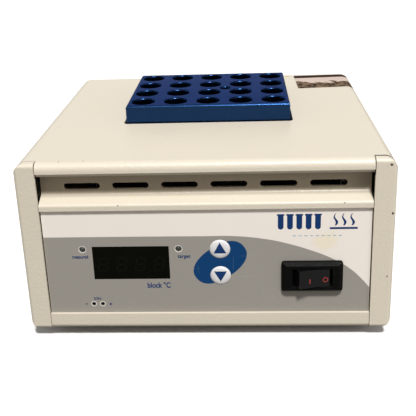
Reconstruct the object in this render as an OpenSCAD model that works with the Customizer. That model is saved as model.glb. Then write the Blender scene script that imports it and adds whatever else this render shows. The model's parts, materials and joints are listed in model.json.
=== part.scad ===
// Bench-top dry bath incubator with one lift-out tube block.
// Front faces -Y, right side is +X, the feet stand on Z = 0.

/* [Housing] */
// Width across the cover
body_w = 192; // [182:1:220]
// Length from the front face to the rear face
body_d = 176; // [172:1:210]
// Height of the housing without its feet
body_h = 95; // [92:1:115]
// Thickness of every folded sheet
sheet = 1.5; // [1.2:0.1:1.8]
// Outside bend radius of the long edges
edge_r = 6; // [4:0.5:8]
// Outside bend radius of the nose above the vents
nose_r = 4; // [3:0.5:5]
// Outside bend radius down the two front strips
strip_r = 2.2; // [1.5:0.1:3]
// Width of the front strips and of the flanges under the cover
strip_w = 11; // [9:0.5:14]
// Height of the nose above the vent recess
nose_h = 7.5; // [6:0.5:9]
// Running gap between neighbouring sheets
sheet_gap = 0.3; // [0.2:0.05:0.5]
// Width of the open seams in the cover
seam = 0.4; // [0.3:0.1:0.6]
// Distance of the corner seams behind the front face
seam_back = 5; // [4:0.2:7]

/* [Front panel] */
// Depth of the vent recess behind the front face
recess_deep = 8; // [6:0.5:10]
// Distance from the top down to the foot of the recess wall
recess_drop = 19.2; // [15:0.1:21]
// Distance from the top down to the lip over the label
lip_drop = 22.6; // [21:0.1:24]
// Height of that lip
lip_h = 3.2; // [2.4:0.1:4]
// Height of the ledge under the label
ledge = 9.2; // [8:0.1:11]
// Depth of the label pocket
pocket = 2; // [1.6:0.1:2.4]
// Number of vent slots
slot_n = 6; // [3:1:6]
// Width of one vent slot
slot_t = 3.4; // [2:0.1:4]
// Metal left between two vent slots
slot_bridge = 6.4; // [5:0.1:9]
// Metal left outside the end slots
slot_end = 12; // [8:0.1:16]
// Thickness of the printed label
label_t = 0.5; // [0.3:0.05:0.8]

/* [Controls] */
// Width of the display window
window_w = 40.3; // [36:0.1:44]
// Height of the display window
window_h = 19.2; // [16:0.1:22]
// Place of the window, in hundredths of the housing's width from its middle
window_at = -20.5; // [-21.5:0.1:-19]
// Height of the middle of the window
window_z = 38.7; // [34:0.1:42]
// Diameter of a lamp
led_d = 3.1; // [2.5:0.1:4]
// Distance of each lamp from the middle of the window
led_off = 25.2; // [24:0.1:28]
// Height of the lamps
led_z = 46.7; // [42:0.1:50]
// Place of the keys, in hundredths of the housing's width from its middle
key_at = 3.8; // [2:0.1:5]
// Height of the midpoint between the keys
key_z = 38.6; // [34:0.1:42]
// Distance between the two keys
key_pitch = 15.3; // [14:0.1:18]
// Diameter of a key
key_d = 10.7; // [8:0.1:12]
// Travel of a key
key_travel = 0.45; // [0.2:0.05:0.6]
// Place of the left trimmer, in hundredths of the housing's width from its middle
trim_at = -31.8; // [-33:0.1:-30]
// Height of the trimmers
trim_z = 14.4; // [13:0.1:17]
// Distance between the trimmers
trim_pitch = 4.8; // [4.7:0.1:6]
// Diameter of a trimmer hole
trim_hole = 2.2; // [1.8:0.1:3]

/* [Power switch] */
// Width of the switch bezel
bezel_w = 31.6; // [30:0.1:34]
// Height of the switch bezel
bezel_h = 17; // [15.5:0.1:20]
// Corner radius of the bezel
bezel_r = 1.5; // [0.8:0.1:2.5]
// Depth of the bezel in front of the label
bezel_t = 3.5; // [2.5:0.1:5]
// Place of the switch, in hundredths of the housing's width from its middle
switch_at = 28.5; // [26:0.1:30]
// Height of the middle of the switch
switch_z = 30.8; // [26:0.1:34]
// Length of the rocker opening
rocker_l = 20.5; // [18:0.1:22]
// Height of the rocker opening
rocker_h = 10.3; // [9:0.1:12]
// Half of the rocker's swing in degrees
rocker_tilt = 11; // [8:0.5:13]

/* [Tube block] */
// Width of the tube block
block_w = 95.25; // [92:0.25:98]
// Depth of the tube block
block_d = 76.2; // [73:0.1:78]
// Height of the tube block
block_h = 50.8; // [46:0.1:54]
// Height of the block above the cover
block_up = 10.2; // [6:0.1:16]
// Place of the middle of the block, in hundredths of the housing's length from its front
block_at = 59.7; // [58:0.1:63]
// Number of wells across
well_nx = 5; // [2:1:5]
// Number of wells from front to back
well_ny = 4; // [2:1:4]
// Diameter of a tube well
well_d = 13.4; // [10:0.1:14]
// Depth of a tube well
well_h = 44.5; // [30:0.5:46]
// Distance between wells across
well_px = 19.2; // [17:0.1:19.3]
// Distance between wells from front to back
well_py = 18.9; // [17:0.1:19.2]
// Chamfer round the mouth of a well
well_rim = 0.5; // [0.2:0.1:0.8]
// Diameter of the thermometer well
thermo_d = 6.4; // [4:0.1:7]
// Chamfer of the block's edges
block_edge = 0.8; // [0.4:0.1:1.2]
// Clearance between the block and the opening in the cover
block_gap = 1.55; // [1:0.05:2]

/* [Heater] */
// Thickness of the heater plate
plate_t = 6; // [4:0.5:8]
// Thickness of the heater mat
mat_t = 1.5; // [1:0.1:2]
// Thickness of the insulation
wool = 8; // [5:0.5:9]

/* [Feet and screws] */
// Height of a foot below the housing
foot_h = 6; // [4:0.5:10]
// Diameter of a foot at its top
foot_d = 17; // [12:0.5:20]
// Distance of the feet from the housing's edges
foot_in = 26; // [22:0.5:34]
// Shank diameter of the housing screws
screw_d = 3; // [2.5:0.1:4]
// Head diameter of the housing screws
head_d = 5.6; // [5:0.1:7]
// Height of a screw head
head_h = 1.8; // [1.2:0.1:2.4]

/* [Mains inlet] */
// Width of the inlet's flange
inlet_w = 50; // [48:0.5:54]
// Height of the inlet's flange
inlet_h = 33; // [32.4:0.1:33.6]
// Thickness of the flange
inlet_t = 2.5; // [2:0.1:3.5]
// Distance between the inlet's screws
inlet_pitch = 40; // [38:0.5:44]
// Place of the inlet, in hundredths of the housing's width from its middle
inlet_at = 27; // [23:0.5:30]
// Height of the middle of the inlet
inlet_z = 20.5; // [20:0.1:21]
// Width of the socket
socket_w = 24.4; // [24:0.1:25]
// Height of the socket
socket_h = 16.6; // [16:0.1:17]
// Depth of the socket
socket_l = 17; // [15:0.5:19]
// Travel of the fuse drawer
drawer_travel = 20; // [20:0.5:24]

/* [Hidden] */

// Overall places
bezel_out = bezel_t + label_t - pocket;
rocker_face = 6.2;
pivot_in = 5;
rocker_half = rocker_l / 2 - 0.15;
face_half = sqrt(rocker_half * rocker_half - rocker_face * rocker_face) - 0.2;
rocker_out = face_half * sin(rocker_tilt) + rocker_face * cos(rocker_tilt) - pivot_in;
front_out = bezel_out + rocker_out;
drawer_lip = 2.5;
rear_out = inlet_t + drawer_lip;
front_y = -(body_d + front_out + rear_out) / 2 + front_out;
rear_y = front_y + body_d;
low_z = foot_h;
top_z = low_z + body_h;
half_w = body_w / 2;
panel_half = half_w - strip_w - sheet_gap;
nose_z = body_h - nose_h;
recess_low = body_h - recess_drop;
lip_top = body_h - lip_drop;
lip_low = lip_top - lip_h;
label_half = panel_half - sheet_gap;
label_y = front_y + pocket - label_t;
panel_back = pocket + sheet;
block_mid = front_y + body_d * block_at / 100;
block_z = top_z + block_up - block_h;
well_w = block_w + 2 * block_gap;
well_dp = block_d + 2 * block_gap;
base_top = low_z + 2 * sheet;

// Fits shared by several pieces
slip = 0.15;
well_r = 2.5;
panel_foot = 14;
foot_seat = 4.3;
base_flange = 14;
pan_half = half_w - sheet - sheet_gap;
cover_inner_r = edge_r - sheet - sheet_gap;
pan_inner_r = edge_r - 2 * sheet + sheet_gap;
rear_low = pan_half - sheet - sheet_gap;
rear_step = base_top + base_flange + sheet_gap;
rear_top = top_z - sheet - sheet_gap;
vent_n = 15;
vent_pitch = 9;
vent_l = 30;
vent_t = 3;
rear_foot = 12;
floor_vent_l = 26;
floor_vent_n = 9;
floor_vent_pitch = 12;

// Places across the panels
slot_l = (2 * (panel_half - slot_end) - (slot_n - 1) * slot_bridge) / slot_n;
slot_pitch = slot_l + slot_bridge;
window_x = body_w * window_at / 100;
key_x = body_w * key_at / 100;
trim_x = body_w * trim_at / 100;
switch_x = body_w * switch_at / 100;
inlet_x = body_w * inlet_at / 100;

// Controls, measured back from the front face
board_y = 13;
board_t = 1.6;
board_x0 = window_x - window_w / 2 - 14.5;
board_w = key_x + key_d / 2 + 9.4 - board_x0;
board_z0 = 9.5;
board_h = lip_low - board_z0 - 8.7;
board_posts = [for (x = [board_x0 + 4, board_x0 + board_w - 4])
    for (z = [board_z0 + 4, board_z0 + board_h - 4]) [x, low_z + z]];
switch_tall = 4.7;
chip_w = 14;
ribbon_w = 13;
ribbon_t = 0.9;
ribbon_x = board_x0 + board_w - 1.2 - ribbon_w / 2;
ribbon_z = low_z + board_z0 + 15.5;
trimmer_y = 5.2;
case_w = 26.8;
case_h = 13.6;
case_l = 17;
pivot_d = 2.4;
pivot_y = pivot_in - bezel_out;
terminal_y = front_y + pocket - label_t - 0.1 + case_l + 1;

// Inlet
inlet_body_w = 28;
inlet_body_h = 31;
drawer_keep = 3;
drawer_l = drawer_travel + drawer_keep;
inlet_body_l = drawer_l;
pin_tail = 6.5;
inlet_clear = 1;
socket_z = 6.3;
drawer_z = -9.3;
drawer_w = 20;
drawer_h = 8.4;
fuse_d = 5.2;
fuse_l = 20;
pin_w = 2;
pin_t = 4;
pin_in = 4.5;
pins_at = [[-7, -1], [0, 3], [7, -1]];

// Wiring
lead_d = 2.2;
sleeve_l = 9;
tail_y = rear_y - inlet_body_l - pin_tail / 2;
blade_t = 0.8;
blade_w = 4.8;

// Power electronics on the base pan
core_w = 42;
core_d = 18;
core_h = 34;
core_tab = 9;
sink_w = 26;
sink_h = 18;
limb = 14;
window = 7;
transformer_at = [-44, front_y + 39];
transformer_screws_at = [for (s = [-1, 1]) [transformer_at[0] + s * (core_w + core_tab + 1) / 2, transformer_at[1]]];
power_at = [34, front_y + 39];
power_w = 70;
power_d = 27;
power_up = 8;
power_top = base_top + power_up + board_t;
power_posts = [for (x = [-1, 1]) for (y = [-1, 1])
    [power_at[0] + x * (power_w / 2 - 4), power_at[1] + y * (power_d / 2 - 4)]];
earth_at = [-8, rear_y - 22];

// Heater stack
pan_z = block_z - plate_t - mat_t - sheet;
wells_at = [for (i = [0 : well_nx - 1]) for (j = [0 : well_ny - 1])
    [(i - (well_nx - 1) / 2) * well_px, block_mid + (j - (well_ny - 1) / 2) * well_py]];
thermo_at = [well_px / 2, block_mid];
bracket_x = 48;
bracket_y = [block_mid - 24, block_mid + 24];
bracket_screws_at = [for (s = [-1, 1]) for (y = bracket_y) [s * (bracket_x + 9), y]];
cutout_d = 16;
cutout_at = [-22, block_mid];
probe_d = 4;
probe_x = 20;

// Curves
turns = 6;
function unit(v) = v / norm(v);
function cross2(a, b) = a[0] * b[1] - a[1] * b[0];
function spin(v, a) = [v[0] * cos(a) - v[1] * sin(a), v[0] * sin(a) + v[1] * cos(a)];

// Points of the arc of radius r that rounds the corner p between a and b
function corner(a, p, b, r) =
    r <= 0 ? [p] :
    let (
        u = unit(a - p),
        v = unit(b - p),
        half = acos(u * v) / 2,
        centre = p + unit(u + v) * r / sin(half),
        start = p + u * r / tan(half) - centre,
        end = p + v * r / tan(half) - centre,
        sweep = (180 - 2 * half) * sign(cross2(start, end))
    )
    [for (i = [0 : turns]) centre + spin(start, sweep * i / turns)];

// Closed outline with a radius at each corner
function rounded(pts, radii) =
    let (n = len(pts))
    [for (i = [0 : n - 1]) each corner(pts[(i + n - 1) % n], pts[i], pts[(i + 1) % n], radii[i])];

// Left-hand offset of an open path by t
function side_path(pts, t) =
    let (n = len(pts))
    [for (i = [0 : n - 1])
        let (
            before = i == 0 ? unit(pts[1] - pts[0]) : unit(pts[i] - pts[i - 1]),
            after = i == n - 1 ? before : unit(pts[i + 1] - pts[i]),
            n1 = [-before[1], before[0]],
            n2 = [-after[1], after[0]]
        )
        pts[i] + (n1 + n2) * t / (1 + n1 * n2)];

// Which way an open path turns at each point
function bend(pts, i) =
    i == 0 || i == len(pts) - 1 ? 0 : sign(cross2(pts[i] - pts[i - 1], pts[i + 1] - pts[i]));

function bent(pts, radii) =
    let (n = len(pts))
    [for (i = [0 : n - 1])
        each (i == 0 || i == n - 1 ? [pts[i]] : corner(pts[i - 1], pts[i], pts[i + 1], radii[i]))];

// Section of a sheet of thickness t, folded along pts, with its outside face on pts
function folded(pts, radii, t) =
    let (
        n = len(pts),
        far = side_path(pts, t),
        far_r = [for (i = [0 : n - 1]) max(0, radii[i] - t * bend(pts, i))],
        back = bent(far, far_r),
        m = len(back)
    )
    concat(bent(pts, radii), [for (i = [0 : m - 1]) back[m - 1 - i]]);

function box_points(w, h) = [[-w / 2, -h / 2], [w / 2, -h / 2], [w / 2, h / 2], [-w / 2, h / 2]];

// Extrudes a section drawn in Y and Z along X, centred
module along_x(len) {
    translate([-len / 2, 0, 0])
        rotate([90, 0, 90]) linear_extrude(len) children();
}

// Extrudes a section drawn in X and Z along Y, from y0 to y1
module along_y(y0, y1) {
    translate([0, y1, 0])
        rotate([90, 0, 0]) linear_extrude(y1 - y0) children();
}

// Cylinder along Y, from y0 to y1
module rod_y(x, z, d, y0, y1, f = 48) {
    translate([x, y0, z]) rotate([-90, 0, 0]) cylinder(d = d, h = y1 - y0, $fn = f);
}

// Round-ended slot cut along Y
module slot_y(x, z, length, wide, y0, y1) {
    translate([x - (length - wide) / 2, y0, z - wide / 2]) cube([length - wide, y1 - y0, wide]);
    for (s = [-1, 1]) rod_y(x + s * (length - wide) / 2, z, wide, y0, y1, 32);
}

// Round-ended slot cut along Z, its long side on Y
module slot_z(x, y, length, wide, z0, z1) {
    translate([x - wide / 2, y - (length - wide) / 2, z0]) cube([wide, length - wide, z1 - z0]);
    for (s = [-1, 1])
        translate([x, y + s * (length - wide) / 2, z0]) cylinder(d = wide, h = z1 - z0, $fn = 32);
}

// Round-ended slot cut along Y, its long side on Z
module slot_up(x, z, length, wide, y0, y1) {
    translate([x - wide / 2, y0, z - (length - wide) / 2]) cube([wide, y1 - y0, length - wide]);
    for (s = [-1, 1]) rod_y(x, z + s * (length - wide) / 2, wide, y0, y1, 32);
}

// Pan-head screw along Z: head down at z, shank up
module screw_up(x, y, z, shank) {
    translate([x, y, z]) {
        difference() {
            rotate_extrude($fn = 48)
                polygon([[0, 0], [head_d / 2 - 0.7, 0], [head_d / 2, 0.7], [head_d / 2, head_h], [0, head_h]]);
            for (a = [0, 90]) rotate([0, 0, a])
                translate([-head_d / 3, -0.4, -1]) cube([head_d / 1.5, 0.8, 1.9]);
        }
        translate([0, 0, head_h - 0.1]) cylinder(d = screw_d, h = shank + 0.1, $fn = 32);
    }
}

// The same screw pointing another way: axis is a rotation, place its head's seat
module screw(place, turn, shank) {
    translate(place) rotate(turn) screw_up(0, 0, -head_h, shank);
}

// Side outline of the housing, shrunk by s, with the bend radius r at its front
module housing_side(s, r) {
    polygon(rounded([[front_y + s, low_z + s], [rear_y + 20, low_z + s],
        [rear_y + 20, top_z - s], [front_y + s, top_z - s]], [r - s, 0, 0, r - s]));
}

// Outline of the housing with its long edges, front strips and nose rounded, shrunk by s
module housing_form(s) {
    intersection() {
        along_y(front_y + s, rear_y + (s > 0 ? 10 : 0)) translate([0, low_z + body_h / 2])
            polygon(rounded(box_points(body_w - 2 * s, body_h - 2 * s), [for (i = [1 : 4]) edge_r - s]));
        translate([0, 0, low_z - 1]) linear_extrude(body_h + 2)
            polygon(rounded([[-half_w + s, front_y + s], [half_w - s, front_y + s],
                [half_w - s, rear_y + 20], [-half_w + s, rear_y + 20]], [strip_r - s, strip_r - s, 0, 0]));
        union() {
            along_x(2 * (half_w - strip_w)) housing_side(s, nose_r);
            for (x = [-1, 1]) translate([x * (half_w - strip_w / 2), 0, 0]) along_x(strip_w + 0.2) housing_side(s, strip_r);
        }
    }
}

// Holes and screws shared by several pieces
bottom_screws_at = [
    for (s = [-1, 1]) each [
        [s * (half_w - strip_w / 2), front_y + body_d * 0.23],
        [s * (half_w - strip_w / 2), rear_y - body_d * 0.17],
        [s * body_w * 0.235, front_y + panel_foot - 4]
    ]
];
feet_at = [for (x = [-1, 1]) for (y = [front_y + foot_in, rear_y - foot_in]) [x * (half_w - foot_in), y]];
rear_flange = 9;
rear_screws_at = [
    for (s = [-1, 1]) for (z = [low_z + 34, top_z - sheet - rear_flange / 2])
        [s * (half_w - sheet - rear_flange / 2 - 0.5), z]
];

module drill_up(places, z, deep, d) {
    for (p = places) translate([p[0], p[1], z]) cylinder(d = d, h = deep, $fn = 32);
}

module cover() {
    color([0.86, 0.81, 0.73])
    difference() {
        union() {
            difference() {
                housing_form(0);
                housing_form(sheet);
            }
            // return flange that the rear panel screws to
            along_y(rear_y - 2 * sheet, rear_y - sheet) translate([0, low_z + body_h / 2]) difference() {
                polygon(rounded(box_points(body_w - sheet, body_h - sheet), [for (i = [1 : 4]) edge_r]));
                square([body_w - 2 * sheet - 2 * rear_flange, body_h - 2 * sheet - 2 * rear_flange], center = true);
                translate([0, -body_h / 2 + 10]) square([body_w, 22], center = true);
            }
        }
        // front opening between the strips, under the nose
        translate([-half_w + strip_w, front_y - 1, low_z - 1])
            cube([body_w - 2 * strip_w, nose_r + 2, nose_z + 1]);
        // open underside between the side flanges
        translate([-half_w + strip_w, front_y - 1, low_z - 1])
            cube([body_w - 2 * strip_w, body_d + 2, sheet + 2]);
        // opening for the tube block
        translate([0, block_mid, top_z - 5]) linear_extrude(10)
            polygon(rounded(box_points(well_w, well_dp), [for (i = [1 : 4]) well_r]));
        // seams where the front strips meet the top and the nose
        for (s = [-1, 1]) {
            translate([s * (half_w - strip_w / 2) - (strip_w + seam) / 2, front_y + seam_back, top_z - edge_r + 1])
                cube([strip_w + seam, seam, edge_r]);
            translate([s * (half_w - strip_w) - seam / 2, front_y - 1, low_z + nose_z - 1])
                cube([seam, seam_back + seam + 1, nose_h + 2]);
        }
        drill_up(bottom_screws_at, low_z - 1, sheet + 2, screw_d + 0.4);
        for (p = rear_screws_at) rod_y(p[0], p[1], screw_d + 0.1, rear_y - 3 * sheet, rear_y, 32);
    }
}

// Section of the front panel: ceiling, recess, slope, lip, label pocket, lower lip
panel_top = nose_z - sheet_gap;
panel_path = [
    [sheet + sheet_gap, panel_top - sheet],
    [recess_deep, panel_top - sheet],
    [recess_deep, recess_low],
    [0, lip_top],
    [0, lip_low],
    [pocket, lip_low],
    [pocket, ledge],
    [0, ledge],
    [0, 0],
    [panel_foot, 0]
];
panel_radii = [0, 0.8, 3, 1.6, 0, 0, 0, 0, nose_r - 1, 0];
slot_z0 = recess_low + slot_t / 2 + 2.3;

// Cut-outs that the label and the front panel share
module control_cuts(y0, y1) {
    translate([window_x - window_w / 2, y0, low_z + window_z - window_h / 2])
        cube([window_w, y1 - y0, window_h]);
    for (s = [-1, 1]) {
        rod_y(window_x + s * led_off, low_z + led_z, led_d + 2 * slip, y0, y1, 32);
        rod_y(key_x, low_z + key_z + s * key_pitch / 2, key_d + 2 * slip, y0, y1);
    }
    for (i = [0, 1]) rod_y(trim_x + i * trim_pitch, low_z + trim_z, trim_hole, y0, y1, 32);
    translate([switch_x - case_w / 2 - slip, y0, low_z + switch_z - case_h / 2 - slip])
        cube([case_w + 2 * slip, y1 - y0, case_h + 2 * slip]);
}

module front_panel() {
    color([0.84, 0.79, 0.71])
    difference() {
        translate([0, front_y, low_z]) along_x(2 * panel_half) polygon(folded(panel_path, panel_radii, sheet));
        // vent slots
        for (i = [0 : slot_n - 1])
            slot_y((i - (slot_n - 1) / 2) * slot_pitch, low_z + slot_z0, slot_l, slot_t,
                front_y + recess_deep - 1, front_y + recess_deep + sheet + 1);
        control_cuts(front_y + pocket - 1, front_y + panel_back + 1);
        drill_up(bottom_screws_at, low_z - 1, sheet + 2, screw_d + 0.4);
    }
}

module rear_panel() {
    color([0.82, 0.77, 0.69])
    difference() {
        intersection() {
            along_x(body_w) polygon(folded([[rear_y - rear_foot, base_top], [rear_y, base_top], [rear_y, rear_top]],
                [0, sheet + 0.5, 0], sheet));
            // outline that steps in between the side flanges of the base pan
            along_y(rear_y - 20, rear_y + 1) polygon(rounded([
                [-rear_low, base_top], [rear_low, base_top], [rear_low, rear_step], [pan_half, rear_step],
                [pan_half, rear_top], [-pan_half, rear_top], [-pan_half, rear_step], [-rear_low, rear_step]],
                [pan_inner_r + sheet_gap, pan_inner_r + sheet_gap, 0, 0, cover_inner_r, cover_inner_r, 0, 0]));
        }
        // vents
        for (i = [0 : vent_n - 1])
            slot_up((i - (vent_n - 1) / 2) * vent_pitch, low_z + body_h * 0.68, vent_l, vent_t, rear_y - 5, rear_y + 1);
        // inlet
        translate([inlet_x - inlet_body_w / 2 - slip, rear_y - 15, low_z + inlet_z - inlet_body_h / 2 - slip])
            cube([inlet_body_w + 2 * slip, 20, inlet_body_h + 2 * slip]);
        for (s = [-1, 1])
            rod_y(inlet_x + s * inlet_pitch / 2, low_z + inlet_z, screw_d + 0.2, rear_y - 5, rear_y + 1, 32);
        for (p = rear_screws_at) rod_y(p[0], p[1], screw_d + 0.4, rear_y - 5, rear_y + 1, 32);
    }
}

module base_pan() {
    color([0.72, 0.73, 0.74])
    difference() {
        along_y(front_y + panel_back + 1.5, rear_y)
            polygon(folded([[-pan_half, base_top + base_flange], [-pan_half, low_z + sheet],
                [pan_half, low_z + sheet], [pan_half, base_top + base_flange]],
                [0, pan_inner_r + sheet, pan_inner_r + sheet, 0], sheet));
        // vents under the electronics and under the heater
        for (i = [0 : floor_vent_n - 1]) for (y = [transformer_at[1], block_mid + well_dp / 2])
            slot_z((i - (floor_vent_n - 1) / 2) * floor_vent_pitch, y, floor_vent_l, vent_t, low_z, base_top + 1);
        drill_up(bottom_screws_at, low_z, 5, screw_d + 0.1);
        drill_up(feet_at, low_z, 5, screw_d + 0.1);
        drill_up(bracket_screws_at, low_z, 5, screw_d + 0.1);
        drill_up(transformer_screws_at, low_z, 5, screw_d + 0.1);
        drill_up([earth_at], low_z, 5, screw_d + 1.1);
    }
}

module bottom_screws() {
    color([0.75, 0.75, 0.77])
    for (p = bottom_screws_at) screw_up(p[0], p[1], low_z - head_h, 2 * sheet + 3);
}

module rear_screws() {
    color([0.75, 0.75, 0.77])
    for (p = rear_screws_at) screw([p[0], rear_y, p[1]], [90, 0, 0], 2 * sheet + 3);
}

module feet() {
    color([0.1, 0.1, 0.1])
    for (p = feet_at) translate([p[0], p[1], 0])
        rotate_extrude($fn = 64) polygon([[screw_d / 2 + 0.2, foot_seat], [screw_d / 2 + 0.2, low_z + sheet],
            [foot_d / 2, low_z + sheet], [foot_d / 2, low_z + sheet - 2], [foot_d / 2 - 1.2, 1],
            [foot_d / 2 - 2.2, 0], [head_d / 2 + 0.4, 0], [head_d / 2 + 0.4, foot_seat]]);
}

module foot_screws() {
    color([0.75, 0.75, 0.77])
    for (p = feet_at) screw_up(p[0], p[1], foot_seat - head_h, low_z + 2 * sheet - foot_seat + 3);
}

module label() {
    color([0.86, 0.83, 0.79])
    difference() {
        translate([-label_half, label_y, low_z + ledge + 0.2])
            cube([2 * label_half, label_t, lip_low - ledge - 0.4]);
        control_cuts(label_y - 1, label_y + label_t + 1);
    }
}

module display_window() {
    color([0.08, 0.09, 0.06])
    translate([window_x - window_w / 2 + 0.1, label_y, low_z + window_z - window_h / 2 + 0.1])
        cube([window_w - 0.2, 1.6, window_h - 0.2]);
}

module display_module() {
    color([0.12, 0.12, 0.12])
    translate([window_x - window_w / 2 - 1, front_y + panel_back + 0.3, low_z + window_z - window_h / 2 - 0.5])
        cube([window_w + 2, board_y - panel_back - 0.3, window_h + 1]);
}

module led(x) {
    color([0.85, 0.8, 0.7])
    translate([x, 0, low_z + led_z]) {
        translate([0, label_y - 0.3, 0]) rotate([-90, 0, 0]) rotate_extrude($fn = 48)
            polygon([[0, 0], [led_d * 0.3, 0.15], [led_d * 0.45, 0.6], [led_d / 2, 1.3],
                [led_d / 2, led_back], [led_d / 2 + 0.4, led_back], [led_d / 2 + 0.4, led_back + 1], [0, led_back + 1]]);
        for (s = [-1, 1])
            translate([s * 0.9 - 0.25, label_y - 0.3 + led_back + 0.9, -0.25])
                cube([0.5, front_y + board_y - label_y + 0.3 - led_back - 0.9, 0.5]);
    }
}
led_back = panel_back + 0.4 - (pocket - label_t - 0.3);

module led_left() {
    led(window_x - led_off);
}

module led_right() {
    led(window_x + led_off);
}

// Domed key with a retaining flange and a stem that reaches its switch
module key(z) {
    color([0.88, 0.87, 0.85])
    translate([key_x, label_y - key_dome, z]) rotate([-90, 0, 0]) rotate_extrude($fn = 64)
        polygon([[0, 0], [key_d * 0.3, 0.12], [key_d * 0.42, 0.4], [key_d / 2, key_dome + 0.1],
            [key_d / 2, key_back], [key_d / 2 + 1, key_back], [key_d / 2 + 1, key_back + 0.8],
            [2, key_back + 0.8], [2, stem_end], [0, stem_end]]);
}
key_dome = 0.9;
key_back = key_dome + label_t + sheet + 0.1;
stem_end = key_dome + front_y + board_y - label_y - switch_tall - key_travel - 0.05;

module key_up() {
    key(low_z + key_z + key_pitch / 2);
}

module key_down() {
    key(low_z + key_z - key_pitch / 2);
}

module key_switches() {
    color([0.15, 0.15, 0.15])
    for (s = [-1, 1]) translate([key_x, front_y + board_y, low_z + key_z + s * key_pitch / 2]) {
        translate([-3, -switch_tall + 1.2, -3]) cube([6, switch_tall - 1.2, 6]);
        rod_y(0, 0, 3.4, -switch_tall, -switch_tall + 1.3, 32);
    }
}

module control_board() {
    color([0.1, 0.35, 0.2])
    difference() {
        translate([board_x0, front_y + board_y, low_z + board_z0])
            cube([board_w, board_t, board_h]);
        for (p = board_posts) rod_y(p[0], p[1], screw_d + 0.2, front_y + board_y - 1, front_y + board_y + board_t + 1, 32);
    }
}

module board_standoffs() {
    color([0.8, 0.75, 0.5])
    for (p = board_posts) difference() {
        rod_y(p[0], p[1], 6, front_y + panel_back, front_y + board_y, 6);
        rod_y(p[0], p[1], screw_d + 0.1, front_y + board_y - 5, front_y + board_y + 1, 32);
    }
}

module board_screws() {
    color([0.75, 0.75, 0.77])
    for (p = board_posts) screw([p[0], front_y + board_y + board_t, p[1]], [90, 0, 0], 5);
}

module controller_chip() {
    color([0.08, 0.08, 0.08])
    translate([window_x, front_y + board_y + board_t, low_z + board_z0 + board_h / 2 - chip_w / 2])
        cube([chip_w, 1.6, chip_w]);
}

module ribbon_socket() {
    color([0.85, 0.85, 0.8])
    translate([ribbon_x - ribbon_w / 2, front_y + board_y + board_t, ribbon_z - 3]) difference() {
        cube([ribbon_w, 7, 6]);
        translate([1, 1.5, 1]) cube([ribbon_w - 2, 6, 4]);
    }
}

module trimmer(x) {
    color([0.15, 0.3, 0.65])
    difference() {
        translate([x - 2.2, front_y + trimmer_y, low_z + trim_z - 4.75]) cube([4.4, board_y - trimmer_y, 9.5]);
        rod_y(x, low_z + trim_z, 1.9, front_y + trimmer_y - 1, front_y + trimmer_y + 2.6, 32);
    }
}

module trim_screw(x) {
    color([0.85, 0.7, 0.35])
    difference() {
        union() {
            rod_y(x, low_z + trim_z, 1.8, front_y + panel_back + 0.3, front_y + trimmer_y + 2.4, 32);
            rod_y(x, low_z + trim_z, 2.6, front_y + panel_back + 0.3, front_y + trimmer_y - 0.2, 32);
        }
        translate([x - 2, front_y + panel_back, low_z + trim_z - 0.25]) cube([4, 0.8, 0.5]);
    }
}

module trimmer_left() {
    trimmer(trim_x);
}

module trimmer_right() {
    trimmer(trim_x + trim_pitch);
}

module trim_screw_left() {
    trim_screw(trim_x);
}

module trim_screw_right() {
    trim_screw(trim_x + trim_pitch);
}

// Rectangular boss with bevelled edges, its base at y = 0, its face at y = -tall
module bevelled(w, h, tall, bevel) {
    intersection() {
        translate([0, 0, -h / 2]) linear_extrude(h)
            polygon([[-w / 2, 0], [w / 2, 0], [w / 2, -tall + bevel], [w / 2 - bevel * 1.2, -tall],
                [-w / 2 + bevel * 1.2, -tall], [-w / 2, -tall + bevel]]);
        along_x(w)
            polygon([[0, -h / 2], [0, h / 2], [-tall + bevel, h / 2], [-tall, h / 2 - bevel * 0.8],
                [-tall, -h / 2 + bevel * 0.8], [-tall + bevel, -h / 2]]);
    }
}

module switch_housing() {
    color([0.06, 0.06, 0.06])
    translate([switch_x, front_y, low_z + switch_z]) difference() {
        union() {
            intersection() {
                translate([0, pocket - label_t, 0]) bevelled(bezel_w, bezel_h, bezel_t, 2);
                along_y(-bezel_out - 1, pocket) polygon(rounded(box_points(bezel_w, bezel_h), [for (i = [1 : 4]) bezel_r]));
            }
            translate([-case_w / 2, pocket - label_t - 0.1, -case_h / 2]) cube([case_w, case_l, case_h]);
            // snap clips behind the panel
            for (s = [-1, 1]) scale_x(s) translate([0, 0, -3]) linear_extrude(6)
                polygon([[case_w / 2 - 0.1, panel_back + 0.3], [case_w / 2 + 1.4, panel_back + 0.3],
                    [case_w / 2 + 0.9, panel_back + 1.3], [case_w / 2 - 0.1, panel_back + 6]]);
        }
        // the rocker's pocket and its two pivot holes
        translate([-rocker_l / 2, -bezel_out - 1, -rocker_h / 2]) cube([rocker_l, bezel_out + 1 + pivot_y + 6, rocker_h]);
        translate([0, pivot_y, -case_h / 2 + 0.5]) cylinder(d = pivot_d + 0.1, h = case_h - 1, $fn = 48);
    }
}

module scale_x(s) {
    if (s > 0) children();
    else mirror([1, 0, 0]) children();
}

// Rocker in plan, face forward, before it is tipped to its off side
rocker_plan = [
    [-rocker_half + 0.5, 3], [-rocker_half, 0], [-face_half - 0.35, -rocker_face + 0.8], [-face_half, -rocker_face],
    [0, -rocker_face + 0.5], [face_half, -rocker_face], [face_half + 0.35, -rocker_face + 0.8],
    [rocker_half, 0], [rocker_half - 0.5, 3], [4, 4.6], [-4, 4.6]
];

module switch_rocker() {
    color([0.07, 0.07, 0.07])
    translate([switch_x, front_y + pivot_y, low_z + switch_z]) rotate([0, 0, rocker_tilt]) {
        translate([0, 0, -rocker_h / 2 + 0.2]) linear_extrude(rocker_h - 0.4) polygon(rocker_plan);
        translate([0, 0, -case_h / 2 + 0.8]) cylinder(d = pivot_d, h = case_h - 1.6, $fn = 48);
    }
}

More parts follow.
